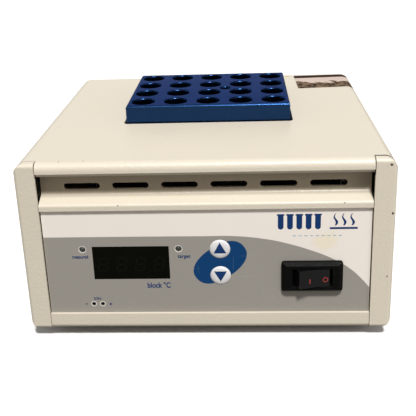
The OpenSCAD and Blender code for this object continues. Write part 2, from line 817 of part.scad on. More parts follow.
module switch_terminals() {
    color([0.8, 0.8, 0.78])
    for (x = [-7, 7]) for (z = [-3.6, 3.6])
        translate([switch_x + x - blade_t / 2, terminal_y - 1, low_z + switch_z + z - blade_w / 2])
            cube([blade_t, 8, blade_w]);
}

module inlet_housing() {
    color([0.07, 0.07, 0.07])
    translate([inlet_x, rear_y, low_z + inlet_z]) difference() {
        union() {
            along_y(0, inlet_t) polygon(rounded(box_points(inlet_w, inlet_h), [for (i = [1 : 4]) 5]));
            translate([-inlet_body_w / 2, -inlet_body_l, -inlet_body_h / 2])
                cube([inlet_body_w, inlet_body_l + 0.1, inlet_body_h]);
        }
        // socket
        along_y(inlet_t - socket_l, inlet_t + 1) translate([0, socket_z])
            polygon([[-socket_w / 2, -socket_h / 2], [socket_w / 2, -socket_h / 2], [socket_w / 2, socket_h / 2 - 4.5],
                [socket_w / 2 - 4.5, socket_h / 2], [-socket_w / 2 + 4.5, socket_h / 2], [-socket_w / 2, socket_h / 2 - 4.5]]);
        // fuse drawer bay
        translate([-drawer_w / 2 - slip, inlet_t - drawer_l - 1, drawer_z - drawer_h / 2 - slip])
            cube([drawer_w + 2 * slip, drawer_l + 2, drawer_h + 2 * slip]);
        for (p = pins_at)
            translate([p[0] - pin_w / 2 - 0.05, -inlet_body_l - 1, socket_z + p[1] - pin_t / 2 - 0.05])
                cube([pin_w + 0.1, inlet_body_l, pin_t + 0.1]);
        for (s = [-1, 1]) rod_y(s * inlet_pitch / 2, 0, screw_d + 0.4, -1, inlet_t + 1, 32);
    }
}

module inlet_pins() {
    color([0.8, 0.78, 0.7])
    for (p = pins_at)
        translate([inlet_x + p[0] - pin_w / 2, rear_y - inlet_body_l - pin_tail, low_z + inlet_z + socket_z + p[1] - pin_t / 2])
            cube([pin_w, inlet_body_l + pin_tail + inlet_t - pin_in, pin_t]);
}

module inlet_screws() {
    color([0.2, 0.2, 0.2])
    for (s = [-1, 1]) screw([inlet_x + s * inlet_pitch / 2, rear_y + inlet_t, low_z + inlet_z], [90, 0, 0], inlet_t + sheet + 4);
}

module fuse_drawer() {
    color([0.09, 0.09, 0.09])
    translate([inlet_x, rear_y + inlet_t, low_z + inlet_z + drawer_z]) difference() {
        union() {
            translate([-drawer_w / 2, -drawer_l, -drawer_h / 2]) cube([drawer_w, drawer_l + 0.5, drawer_h]);
            translate([-drawer_w / 2 - 0.8, slip, -drawer_h / 2 - 0.4]) cube([drawer_w + 1.6, drawer_lip - slip, drawer_h + 0.8]);
        }
        // trough for the two fuses, and the finger notch
        translate([-fuse_d - 0.4, -drawer_l + 1.2, -fuse_d / 2 - 0.2]) cube([2 * fuse_d + 0.8, fuse_l + 0.6, drawer_h]);
        translate([-4, drawer_lip - 1.2, -drawer_h / 2 - 1]) cube([8, 2, 3]);
    }
}

module fuses() {
    color([0.85, 0.87, 0.88])
    for (s = [-1, 1])
        rod_y(inlet_x + s * (fuse_d / 2 + 0.1), low_z + inlet_z + drawer_z, fuse_d - 0.1,
            rear_y + inlet_t - drawer_l + 1.5, rear_y + inlet_t - drawer_l + 1.5 + fuse_l, 32);
}

module transformer_core() {
    color([0.35, 0.36, 0.38])
    translate([transformer_at[0], transformer_at[1], base_top]) difference() {
        union() {
            translate([-core_w / 2, -core_d / 2, 0]) cube([core_w, core_d, core_h]);
            translate([-core_w / 2 - core_tab, -core_d / 3, 0]) cube([core_w + 2 * core_tab, core_d / 1.5, sheet]);
        }
        for (s = [-1, 1]) translate([s * (limb + window) / 2 - window / 2, -core_d, limb / 2])
            cube([window, 2 * core_d, core_h - limb]);
        for (s = [-1, 1]) translate([s * (core_w + core_tab + 1) / 2, 0, -1]) cylinder(d = screw_d + 0.2, h = 4, $fn = 32);
    }
}

module transformer_coil() {
    color([0.75, 0.55, 0.2])
    translate([transformer_at[0], transformer_at[1], base_top + core_h / 2]) difference() {
        cube([limb + 2 * window - 0.4, core_d + 10, core_h - limb - 0.4], center = true);
        cube([limb + 0.2, core_d + 0.2, core_h], center = true);
    }
}

module transformer_screws() {
    color([0.75, 0.75, 0.77])
    for (p = transformer_screws_at) screw([p[0], p[1], base_top + sheet], [180, 0, 0], 2 * sheet);
}

module power_board() {
    color([0.1, 0.35, 0.2])
    difference() {
        translate([power_at[0] - power_w / 2, power_at[1] - power_d / 2, base_top + power_up]) cube([power_w, power_d, board_t]);
        drill_up(power_posts, base_top + power_up - 1, 4, screw_d + 0.2);
    }
}

module power_standoffs() {
    color([0.8, 0.75, 0.5])
    for (p = power_posts) translate([p[0], p[1], base_top]) difference() {
        cylinder(d = 6, h = power_up, $fn = 6);
        translate([0, 0, power_up - 5]) cylinder(d = screw_d + 0.1, h = 6, $fn = 32);
    }
}

module power_screws() {
    color([0.75, 0.75, 0.77])
    for (p = power_posts) screw([p[0], p[1], base_top + power_up + board_t], [180, 0, 0], 5);
}

module heat_sink() {
    color([0.6, 0.61, 0.63])
    translate([power_at[0] + 12, power_at[1], power_top]) {
        translate([-sink_w / 2, 1, 0]) cube([sink_w, 2, sink_h]);
        for (i = [0 : 5]) translate([-sink_w / 2 + i * (sink_w - 2) / 5, 2.9, 0]) cube([2, 6.6, sink_h]);
    }
}

module triac() {
    color([0.1, 0.1, 0.1])
    translate([power_at[0] + 12, power_at[1] + 1, power_top]) {
        translate([-5, -4.4, 4]) cube([10, 4.4, 12]);
        for (x = [-2.5, 0, 2.5]) translate([x - 0.4, -2.4, 0]) cube([0.8, 0.6, 4.1]);
    }
}

module terminal_block() {
    color([0.2, 0.5, 0.3])
    translate([power_at[0] - 26, power_at[1] - 7, power_top]) difference() {
        cube([25, 10, 11]);
        for (i = [0 : 4]) {
            translate([2.5 + i * 5, 5, 6]) cylinder(d = 3.4, h = 6, $fn = 32);
            translate([1 + i * 5, -1, 1.5]) cube([3, 6, 3.5]);
        }
    }
}

module earth_stud() {
    color([0.8, 0.7, 0.4])
    translate([earth_at[0], earth_at[1], 0]) {
        translate([0, 0, low_z + sheet - 0.6]) cylinder(d = 8, h = 0.6, $fn = 48);
        translate([0, 0, low_z + sheet - 0.1]) cylinder(d = 4, h = sheet + 10, $fn = 48);
        translate([0, 0, base_top]) cylinder(d = 8, h = 3.2, $fn = 6);
    }
}

// Flat cable from the control board down to the power board
module ribbon_cable() {
    plug_y = front_y + board_y + board_t + 1.6;
    fall_y = power_at[1] - 9;
    color([0.6, 0.6, 0.62])
    union() {
        translate([ribbon_x - ribbon_w / 2 + 1.1, plug_y, ribbon_z - 1.9]) cube([ribbon_w - 2.2, 6.4, 3.8]);
        translate([ribbon_x, 0, 0]) along_x(ribbon_w - 3)
            polygon(folded([[plug_y + 6.3, ribbon_z + ribbon_t / 2], [fall_y + ribbon_t / 2, ribbon_z + ribbon_t / 2],
                [fall_y + ribbon_t / 2, power_top + 2.9]], [0, 2.5, 0], -ribbon_t));
        translate([ribbon_x - ribbon_w / 2 + 0.5, fall_y - 1.2, power_top]) cube([ribbon_w - 1, 2.4, 3]);
    }
}

// Insulated lead through points whose neighbours differ along one axis only
module lead(points) {
    for (i = [0 : len(points) - 2]) {
        run = points[i + 1] - points[i];
        translate(points[i])
            rotate([run[1] == 0 ? 0 : run[1] > 0 ? -90 : 90, run[0] == 0 ? (run[2] < 0 ? 180 : 0) : run[0] > 0 ? 90 : -90, 0])
            cylinder(d = lead_d, h = norm(run), $fn = 32);
        if (i > 0) translate(points[i]) sphere(d = lead_d, $fn = 32);
    }
}

// Push-on sleeve over a flat blade along Y: closed at its far end, its mouth at y0
module sleeve(x, y0, z) {
    translate([x, y0 + sleeve_l / 2, z]) difference() {
        cube([blade_t + 1.8, sleeve_l, blade_w + 1.4], center = true);
        translate([0, -1.5, 0]) cube([blade_t + 0.1, sleeve_l, blade_w + 0.1], center = true);
    }
}

// Sleeve open at both ends over the tail of an inlet pin, its lead leaving downward
module flag_sleeve(pin) {
    translate([inlet_x + pin[0], tail_y, low_z + inlet_z + socket_z + pin[1]]) difference() {
        cube([pin_w + 1.8, pin_tail - 0.5, pin_t + 1.4], center = true);
        cube([pin_w + 0.1, pin_tail, pin_t + 0.1], center = true);
    }
}

function flag_foot(pin) = [inlet_x + pin[0], tail_y, low_z + inlet_z + socket_z + pin[1] - pin_t / 2 - 0.3];

// From the inlet to the switch, and from the switch to the terminal block
module mains_leads() {
    run_z = base_top + 12;
    outer_x = power_at[0] + power_w / 2 + 3;
    inner_x = power_at[0] + 6;
    rise_y = power_at[1] + power_d / 2 + 0.8;
    turn_y = power_at[1] - 4;
    back_y = terminal_y + sleeve_l;
    low = low_z + switch_z - 3.6;
    high = low_z + switch_z + 3.6;
    over_z = high + 5;
    entry_z = power_top + 3.2;
    entry_x = power_at[0] - 26 + 2.5;
    near = flag_foot(pins_at[0]);
    far = flag_foot(pins_at[2]);
    color([0.08, 0.08, 0.08])
    union() {
        for (i = [0, 2]) flag_sleeve(pins_at[i]);
        for (x = [-7, 7]) for (z = [low, high]) sleeve(switch_x + x, terminal_y, z);
        lead([far, [far[0], tail_y, run_z], [outer_x, tail_y, run_z], [outer_x, turn_y, run_z],
            [outer_x, turn_y, low], [switch_x + 7, turn_y, low], [switch_x + 7, back_y - 1, low]]);
        lead([near, [near[0], tail_y, run_z], [inner_x, tail_y, run_z], [inner_x, rise_y, run_z],
            [inner_x, rise_y, high], [inner_x, turn_y, high], [switch_x - 7, turn_y, high], [switch_x - 7, back_y - 1, high]]);
        lead([[switch_x - 7, back_y - 1, low], [switch_x - 7, back_y + 1.6, low], [entry_x + 20, back_y + 1.6, low],
            [entry_x + 20, back_y + 1.6, entry_z], [entry_x + 20, power_at[1] - 3, entry_z]]);
        lead([[switch_x + 7, back_y - 1, high], [switch_x + 7, back_y + 1.6, high], [switch_x + 7, back_y + 1.6, over_z],
            [entry_x + 15, back_y + 1.6, over_z], [entry_x + 15, back_y + 1.6, entry_z],
            [entry_x + 15, power_at[1] - 3, entry_z]]);
    }
}

// From the earth pin of the inlet to the stud
module earth_lead() {
    ring_z = base_top + 3.2;
    foot = flag_foot(pins_at[1]);
    color([0.2, 0.5, 0.2])
    union() {
        flag_sleeve(pins_at[1]);
        lead([foot, [foot[0], tail_y, ring_z + 1.7], [earth_at[0] + 16, tail_y, ring_z + 1.7],
            [earth_at[0] + 16, earth_at[1], ring_z + 1.7], [earth_at[0] + 6, earth_at[1], ring_z + 1.7]]);
        translate([0, 0, ring_z]) linear_extrude(0.8) difference() {
            union() {
                translate(earth_at) circle(d = 8, $fn = 48);
                translate([earth_at[0] + 2, earth_at[1] - 1.5]) square([7, 3]);
            }
            translate(earth_at) circle(d = 4.2, $fn = 48);
        }
    }
}

module tube_block() {
    color([0.1, 0.2, 0.4])
    difference() {
        intersection() {
            along_y(block_mid - block_d / 2, block_mid + block_d / 2)
                polygon(edge_cut(block_w, block_h, block_edge));
            translate([0, block_mid, 0]) along_x(block_w)
                polygon(edge_cut(block_d, block_h, block_edge));
        }
        for (p = wells_at) translate([p[0], p[1], block_z + block_h - well_h]) {
            cylinder(d = well_d, h = well_h + 1, $fn = 64);
            translate([0, 0, well_h - well_rim])
                cylinder(d1 = well_d, d2 = well_d + 4 * well_rim, h = 2 * well_rim, $fn = 64);
        }
        translate([thermo_at[0], thermo_at[1], block_z + block_h - well_h]) {
            cylinder(d = thermo_d, h = well_h + 1, $fn = 48);
            translate([0, 0, well_h - well_rim])
                cylinder(d1 = thermo_d, d2 = thermo_d + 4 * well_rim, h = 2 * well_rim, $fn = 48);
        }
    }
}

function edge_cut(w, h, c) = [[-w / 2, block_z], [w / 2, block_z], [w / 2, block_z + h - c],
    [w / 2 - c, block_z + h], [-w / 2 + c, block_z + h], [-w / 2, block_z + h - c]];

module well_form(grow, z0, z1) {
    translate([0, block_mid, z0]) linear_extrude(z1 - z0)
        polygon(rounded(box_points(well_w + 2 * grow, well_dp + 2 * grow), [for (i = [1 : 4]) well_r + grow]));
}

module well_pan() {
    color([0.7, 0.71, 0.72])
    difference() {
        union() {
            well_form(sheet, pan_z, top_z - sheet);
            well_form(sheet + 6, top_z - 2 * sheet, top_z - sheet);
        }
        well_form(0, pan_z + sheet, top_z + 1);
        rod_y(probe_x, block_z - plate_t / 2, probe_d + 0.6, block_mid - block_d, block_mid);
    }
}

module heater_plate() {
    color([0.75, 0.76, 0.77])
    difference() {
        translate([-block_w / 2, block_mid - block_d / 2, block_z - plate_t]) cube([block_w, block_d, plate_t]);
        rod_y(probe_x, block_z - plate_t / 2, probe_d + 0.1, block_mid - block_d, block_mid);
    }
}

module heater_mat() {
    color([0.7, 0.3, 0.15])
    translate([-block_w / 2, block_mid - block_d / 2, block_z - plate_t - mat_t]) cube([block_w, block_d, mat_t]);
}

module insulation() {
    color([0.9, 0.88, 0.8])
    difference() {
        well_form(sheet + 0.3 + wool, pan_z - wool, top_z - 2 * sheet - 0.5);
        well_form(sheet + 0.3, pan_z, top_z);
        translate([cutout_at[0], cutout_at[1], pan_z - wool - 1]) cylinder(d = cutout_d + 0.6, h = wool + 2, $fn = 48);
        rod_y(probe_x, block_z - plate_t / 2, probe_d + 0.6, block_mid - block_d, block_mid);
        // kept clear of the inlet
        translate([inlet_x - inlet_body_w / 2 - inlet_clear, rear_y - inlet_body_l - pin_tail - inlet_clear, low_z])
            cube([inlet_body_w + 2 * inlet_clear, inlet_body_l + pin_tail, inlet_z + inlet_body_h / 2 + inlet_clear]);
    }
}

module well_brackets() {
    color([0.7, 0.71, 0.72])
    difference() {
        for (y = bracket_y) along_y(y - 7, y + 7)
            polygon(folded([[-bracket_x - 14, base_top], [-bracket_x, base_top], [-bracket_x, pan_z - wool - sheet],
                [bracket_x, pan_z - wool - sheet], [bracket_x, base_top], [bracket_x + 14, base_top]],
                [0, 2, 1, 1, 2, 0], sheet));
        drill_up(bracket_screws_at, base_top - 1, 4, screw_d + 0.2);
    }
}

module bracket_screws() {
    color([0.75, 0.75, 0.77])
    for (p = bracket_screws_at) screw([p[0], p[1], base_top + sheet], [180, 0, 0], 2 * sheet);
}

module thermal_cutout() {
    color([0.75, 0.72, 0.65])
    translate([cutout_at[0], cutout_at[1], pan_z - wool - 2]) {
        cylinder(d = cutout_d, h = wool + 2, $fn = 48);
        for (s = [-1, 1]) translate([s * 4 - 2.4, -0.4, -7]) cube([4.8, 0.8, 7.1]);
    }
}

module temperature_probe() {
    color([0.8, 0.8, 0.8])
    union() {
        rod_y(probe_x, block_z - plate_t / 2, probe_d, block_mid - well_dp / 2 - sheet - wool - 4, block_mid - 0.5);
        rod_y(probe_x, block_z - plate_t / 2, probe_d + 3, block_mid - well_dp / 2 - sheet - wool - 6,
            block_mid - well_dp / 2 - sheet - wool - 0.3);
    }
}

cover();
front_panel();
rear_panel();
base_pan();
bottom_screws();
rear_screws();
feet();
foot_screws();
label();
display_window();
display_module();
led_left();
led_right();
key_up();
key_down();
key_switches();
control_board();
board_standoffs();
board_screws();
controller_chip();
trimmer_left();
trimmer_right();
trim_screw_left();
trim_screw_right();
ribbon_socket();
switch_housing();
switch_rocker();
switch_terminals();
inlet_housing();
inlet_pins();
inlet_screws();
fuse_drawer();
fuses();
transformer_core();
transformer_coil();
transformer_screws();
power_board();
power_standoffs();
power_screws();
triac();
heat_sink();
terminal_block();
earth_stud();
ribbon_cable();
mains_leads();
earth_lead();
tube_block();
well_pan();
heater_plate();
heater_mat();
insulation();
well_brackets();
bracket_screws();
thermal_cutout();
temperature_probe();
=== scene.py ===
# %% [markdown]
# # Dry bath incubator: looks
# The CAD solids are packed as a fixed frame in metres: the front faces -Y, the right side is +X and the feet
# stand on Z = 0. This lesson loads that frame, dresses every solid with a node-based finish, softens the edges
# that the eye reads first, and prints the face of the instrument.

# %% Load the frame
import json
import math
import random

import bmesh
import bpy
from mathutils import Matrix, Vector
from mathutils.bvhtree import BVHTree

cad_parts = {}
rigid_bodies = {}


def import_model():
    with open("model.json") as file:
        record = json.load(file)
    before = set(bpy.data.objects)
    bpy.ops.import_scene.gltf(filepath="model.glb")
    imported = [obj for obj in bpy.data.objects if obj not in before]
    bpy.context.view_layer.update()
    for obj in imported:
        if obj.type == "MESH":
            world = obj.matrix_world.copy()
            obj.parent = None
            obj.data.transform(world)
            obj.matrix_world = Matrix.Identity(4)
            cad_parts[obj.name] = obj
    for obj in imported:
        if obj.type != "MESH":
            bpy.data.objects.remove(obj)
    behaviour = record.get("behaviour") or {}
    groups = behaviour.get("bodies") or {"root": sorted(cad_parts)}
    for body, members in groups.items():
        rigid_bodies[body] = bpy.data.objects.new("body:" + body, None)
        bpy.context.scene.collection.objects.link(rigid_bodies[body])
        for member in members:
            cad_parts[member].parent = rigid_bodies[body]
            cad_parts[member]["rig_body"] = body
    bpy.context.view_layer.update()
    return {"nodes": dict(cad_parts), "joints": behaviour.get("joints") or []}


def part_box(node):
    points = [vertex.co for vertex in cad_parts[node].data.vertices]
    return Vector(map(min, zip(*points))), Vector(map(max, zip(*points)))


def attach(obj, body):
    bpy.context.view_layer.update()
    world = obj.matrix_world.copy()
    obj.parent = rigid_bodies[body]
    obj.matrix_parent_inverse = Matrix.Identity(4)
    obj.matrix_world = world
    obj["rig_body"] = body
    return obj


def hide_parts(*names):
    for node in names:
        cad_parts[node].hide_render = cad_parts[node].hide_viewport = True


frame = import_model()
nodes = frame["nodes"]
MM = 0.001

# %% [markdown]
# Places are read from the solids, so the lesson follows the model when it is packed again. The artwork on the
# panel uses its own coordinates: x from the middle of the panel and z above the underside of the housing, both
# in millimetres.

# %% Places read from the solids
cover_low, cover_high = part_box("cover")
front_y, floor_of_case, case_top = cover_low.y, cover_low.z, cover_high.z
film_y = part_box("label")[0].y


def on_panel(x, z, proud=0.0):
    """Point on the film's face, from panel millimetres."""
    return Vector((x * MM, film_y - proud * MM, floor_of_case + z * MM))


print("film's face at y =", round(film_y / MM, 3), "mm")

# %% [markdown]
# ## Camera
# The photograph was taken close to the instrument, from a little above and a little to the right. A camera was
# fitted to the corners of the tube block, the wells and the edges of the housing. Most of the frame's offset
# went into the camera's pitch, and a small vertical shift keeps the upright edges nearly parallel.

# %% Camera
SENSOR_MM, LENS_MM = 36, 62.47
SHIFT = (0.0126, -0.1611)  # in widths of the frame
TURN_DEG = (71.249, 2.067, 2.813)  # about X, Y and Z
PLACE_M = (0.02116, -0.42156, 0.22522)
CLIP_M = (0.01, 20)
camera_data = bpy.data.cameras.new("camera")
camera_data.sensor_width, camera_data.lens = SENSOR_MM, LENS_MM
camera_data.shift_x, camera_data.shift_y = SHIFT
camera_data.clip_start, camera_data.clip_end = CLIP_M
camera = bpy.data.objects.new("camera", camera_data)
camera.rotation_euler = [math.radians(angle) for angle in TURN_DEG]
camera.location = PLACE_M
bpy.context.scene.collection.objects.link(camera)
bpy.context.scene.camera = camera
bpy.context.scene.view_settings.view_transform = "Standard"
print("camera", round(camera.location.length, 3), "m from the middle of the footprint")

# %% [markdown]
# ## Stage and light
# The product stands on a plain white floor. A dim world fills the shadows a little, and the camera sees that
# world as white as the floor.

# %% Floor and world
FLOOR_M = 4
WORLD_LIT, WORLD_SEEN = 0.16, 1.0  # strength as light, and as the camera sees it


def link(obj):
    """Puts an object in the scene and hands it back."""
    bpy.context.scene.collection.objects.link(obj)
    return obj


def mesh_object(name, bm, smooth=False):
    """Object from a bmesh, with its normals turned outward."""
    mesh = bpy.data.meshes.new(name)
    bmesh.ops.recalc_face_normals(bm, faces=bm.faces)
    bm.to_mesh(mesh)
    bm.free()
    for polygon in mesh.polygons:
        polygon.use_smooth = smooth
    return link(bpy.data.objects.new(name, mesh))


bm = bmesh.new()
bmesh.ops.create_grid(bm, x_segments=1, y_segments=1, size=FLOOR_M)
floor = mesh_object("floor", bm)

world = bpy.data.worlds.new("studio")
world.use_nodes = True
world_tree = world.node_tree
sky = world_tree.nodes["Background"]
sky.inputs["Color"].default_value = (1.0, 0.99, 0.97, 1)
seen = world_tree.nodes.new("ShaderNodeMapRange")
seen.inputs["To Min"].default_value, seen.inputs["To Max"].default_value = WORLD_LIT, WORLD_SEEN
world_tree.links.new(world_tree.nodes.new("ShaderNodeLightPath").outputs["Is Camera Ray"], seen.inputs["Value"])
world_tree.links.new(seen.outputs["Result"], sky.inputs["Strength"])
bpy.context.scene.world = world
print("world strength", WORLD_LIT, "as light and", WORLD_SEEN, "as seen")

# %% [markdown]
# One broad light from high in front gives the shade under the nose and the lip: at 59 degrees it just misses the
# recess wall and still reaches the slope below it. Two small lamps lay the glints on the nose, the well rims and
# the switch. Three wide, weak boxes behind and beside the instrument open the shadows of its sides and back.

# %% Lamps
SUN_ELEVATION, SUN_TURN, SUN_SPREAD = 59, 12, 8  # degrees; a turn of 90 would be the right side
SUN_STRENGTH = 3.68
sun = bpy.data.lights.new("sky_panel", "SUN")
sun.energy, sun.color, sun.angle = SUN_STRENGTH, (1.0, 0.985, 0.96), math.radians(SUN_SPREAD)
holder = link(bpy.data.objects.new("sky_panel", sun))
holder.rotation_euler = (math.radians(90 - SUN_ELEVATION), 0, math.radians(SUN_TURN))


def softbox(name, place, size, watts, tint=(1, 1, 1), target=(0, 0, 0.05)):
    """Rectangular lamp at place, aimed at target; lengths in metres."""
    lamp = bpy.data.lights.new(name, "AREA")
    lamp.shape = "RECTANGLE"
    lamp.size, lamp.size_y = size
    lamp.energy, lamp.color = watts, tint
    holder = link(bpy.data.objects.new(name, lamp))
    holder.location = place
    holder.rotation_euler = (Vector(target) - Vector(place)).to_track_quat("-Z", "Y").to_euler()


softbox("lamp_front", (0.22, -0.6, 0.7), (0.3, 0.2), 0.12, (1.0, 0.98, 0.95), (0, -0.08, 0.08))
softbox("lamp_right", (0.5, -0.42, 0.28), (0.2, 0.2), 0.45, (1.0, 0.97, 0.94), (0.07, -0.08, 0.05))
softbox("fill_back", (-0.2, 1.3, 0.55), (1.8, 0.9), 2.4, (0.96, 0.98, 1.0))
softbox("fill_left", (-1.3, 0.25, 0.45), (1.0, 0.8), 1.9)
softbox("fill_side", (1.3, 0.35, 0.45), (1.0, 0.8), 1.2)
print("lamps:", [lamp.name for lamp in bpy.data.lights])

# %% [markdown]
# ## Shared shader groups
# Node trees are built by a few small helpers. Each takes a tree and gives back an output socket, so a chain of
# nodes reads like a formula.

# %% Node helpers
def new_group(name, inputs, outputs):
    """Shader group with float or colour sockets; returns its tree, its input node and its output node."""
    tree = bpy.data.node_groups.new(name, "ShaderNodeTree")
    for socket, kind, value in inputs:
        made = tree.interface.new_socket(socket, in_out="INPUT", socket_type=kind)
        made.default_value = value
    for socket, kind in outputs:
        tree.interface.new_socket(socket, in_out="OUTPUT", socket_type=kind)
    return tree, tree.nodes.new("NodeGroupInput"), tree.nodes.new("NodeGroupOutput")


def plug(tree, value, socket):
    """Joins an output to a socket, or types a number or colour into it."""
    if isinstance(value, bpy.types.NodeSocket):
        tree.links.new(value, socket)
    else:
        socket.default_value = value


def maths(tree, operation, a, b=0.0, clamp=False):
    node = tree.nodes.new("ShaderNodeMath")
    node.operation, node.use_clamp = operation, clamp
    plug(tree, a, node.inputs[0])
    plug(tree, b, node.inputs[1])
    return node.outputs[0]


def object_place(tree, axis=None):
    """The point's own coordinates in metres, as a vector or as one axis of it."""
    coords = tree.nodes.new("ShaderNodeTexCoord").outputs["Object"]
    if not axis:
        return coords
    split = tree.nodes.new("ShaderNodeSeparateXYZ")
    tree.links.new(coords, split.inputs[0])
    return split.outputs[axis]


def noise(tree, scale, detail=2.0, stretch=None):
    """Noise on the object's own coordinates; scale is in waves per metre."""
    coords = object_place(tree)
    if stretch:
        mapping = tree.nodes.new("ShaderNodeMapping")
        mapping.inputs["Scale"].default_value = stretch
        tree.links.new(coords, mapping.inputs["Vector"])
        coords = mapping.outputs["Vector"]
    node = tree.nodes.new("ShaderNodeTexNoise")
    tree.links.new(coords, node.inputs["Vector"])
    plug(tree, scale, node.inputs["Scale"])
    plug(tree, detail, node.inputs["Detail"])
    return node.outputs["Fac"]


def remap(tree, value, low, high, to_low=0.0, to_high=1.0):
    """Value carried from low..high to to_low..to_high, and held at the ends."""
    node = tree.nodes.new("ShaderNodeMapRange")
    for i, v in enumerate((value, low, high, to_low, to_high)):
        plug(tree, v, node.inputs[i])
    return node.outputs[0]


def blend(tree, factor, a, b):
    """Colour a where factor is 0 and b where it is 1."""
    node = tree.nodes.new("ShaderNodeMix")
    node.data_type = "RGBA"
    plug(tree, factor, node.inputs["Factor"])
    plug(tree, a, node.inputs[6])
    plug(tree, b, node.inputs[7])
    return node.outputs[2]


def length(tree, a, b):
    """Length of the vector (a, b)."""
    return maths(tree, "SQRT", maths(tree, "ADD", maths(tree, "MULTIPLY", a, a), maths(tree, "MULTIPLY", b, b)))

# %% [markdown]
# Real finishes are never one flat value. Four small groups are built once and placed in each material with its
# own numbers: a fine height grain for the texture of paint and moulded plastic, a slow drift of colour, a mask of
# fine scratches, and a mask that picks out worn edges. Each puts out only a value or a colour.

# %% The four groups
FLOAT, COLOR = "NodeSocketFloat", "NodeSocketColor"
grain, start, end = new_group("surface_grain", [("Size", FLOAT, 1.0)], [("Height", FLOAT)])
waves = maths(grain, "DIVIDE", 1 / MM, start.outputs["Size"])
coarse = noise(grain, waves, 1.0)
fine = noise(grain, maths(grain, "MULTIPLY", waves, 2.7), 1.0)
grain.links.new(maths(grain, "ADD", coarse, maths(grain, "MULTIPLY", fine, 0.35)), end.inputs["Height"])

drift, start, end = new_group(
    "colour_drift", [("Color", COLOR, (1, 1, 1, 1)), ("Size", FLOAT, 30.0), ("Amount", FLOAT, 0.05)],
    [("Color", COLOR)])
cloud = noise(drift, maths(drift, "DIVIDE", 1 / MM, start.outputs["Size"]), 3.0)
swing = maths(drift, "MULTIPLY", maths(drift, "SUBTRACT", cloud, 0.5), start.outputs["Amount"])
scaled = drift.nodes.new("ShaderNodeVectorMath")
scaled.operation = "SCALE"
drift.links.new(start.outputs["Color"], scaled.inputs[0])
drift.links.new(maths(drift, "ADD", 1.0, swing), scaled.inputs["Scale"])
drift.links.new(scaled.outputs[0], end.inputs["Color"])

# long thin noise, cut down to its peaks and kept only in patches
scratch, start, end = new_group("fine_scratches", [("Amount", FLOAT, 0.5)], [("Mask", FLOAT)])
level = remap(scratch, noise(scratch, 60.0, 4.0, (1, 1, 14)), 0.66, 0.70)
upright = remap(scratch, noise(scratch, 60.0, 4.0, (12, 1, 1)), 0.68, 0.71)
patches = remap(scratch, noise(scratch, 25.0, 1.0), 0.48, 0.62)
both = maths(scratch, "MULTIPLY", maths(scratch, "MAXIMUM", level, upright), patches)
scratch.links.new(maths(scratch, "MULTIPLY", both, start.outputs["Amount"], True), end.inputs["Mask"])

# an edge is where the bevelled normal turns away from the true one; noise breaks it up
worn, start, end = new_group("worn_edges", [("Width", FLOAT, 0.6), ("Amount", FLOAT, 0.5)], [("Mask", FLOAT)])
rounded = worn.nodes.new("ShaderNodeBevel")
rounded.samples = 4
worn.links.new(maths(worn, "MULTIPLY", start.outputs["Width"], MM), rounded.inputs["Radius"])
facing = worn.nodes.new("ShaderNodeVectorMath")
facing.operation = "DOT_PRODUCT"
worn.links.new(rounded.outputs["Normal"], facing.inputs[0])
worn.links.new(worn.nodes.new("ShaderNodeNewGeometry").outputs["Normal"], facing.inputs[1])
edge = remap(worn, facing.outputs["Value"], 0.985, 0.90)
broken = maths(worn, "MULTIPLY", edge, remap(worn, noise(worn, 700.0, 3.0), 0.42, 0.62))
worn.links.new(maths(worn, "MULTIPLY", broken, start.outputs["Amount"], True), end.inputs["Mask"])
print("groups:", [group.name for group in bpy.data.node_groups])

# %% [markdown]
# A material is a Principled shader with those groups in front of it. Numbers that are the same all over a
# surface are typed into the shader, and only what varies is linked: colour, roughness and normal. A scratch is
# paler and duller than the surface round it.

# %% Build one finish
ROUGH_FINER, ROUGH_SWING = 2.3, 0.12  # waves of roughness to one of colour, and the share it wanders by
SCUFF_ROUGH = 0.25  # added to the roughness in a scratch
SCUFF_KEPT, SCUFF_ADDED = 0.5, 0.42  # a scratch keeps this share of the colour and adds this much white
SCUFF_PALE = (0.80, 0.79, 0.76)  # a scratch in a printed surface
finishes = {}


def add_group(tree, group, **values):
    """The first output of a group placed in a material with its own values."""
    node = tree.nodes.new("ShaderNodeGroup")
    node.node_tree = group
    for socket, value in values.items():
        plug(tree, value, node.inputs[socket])
    return node.outputs[0]


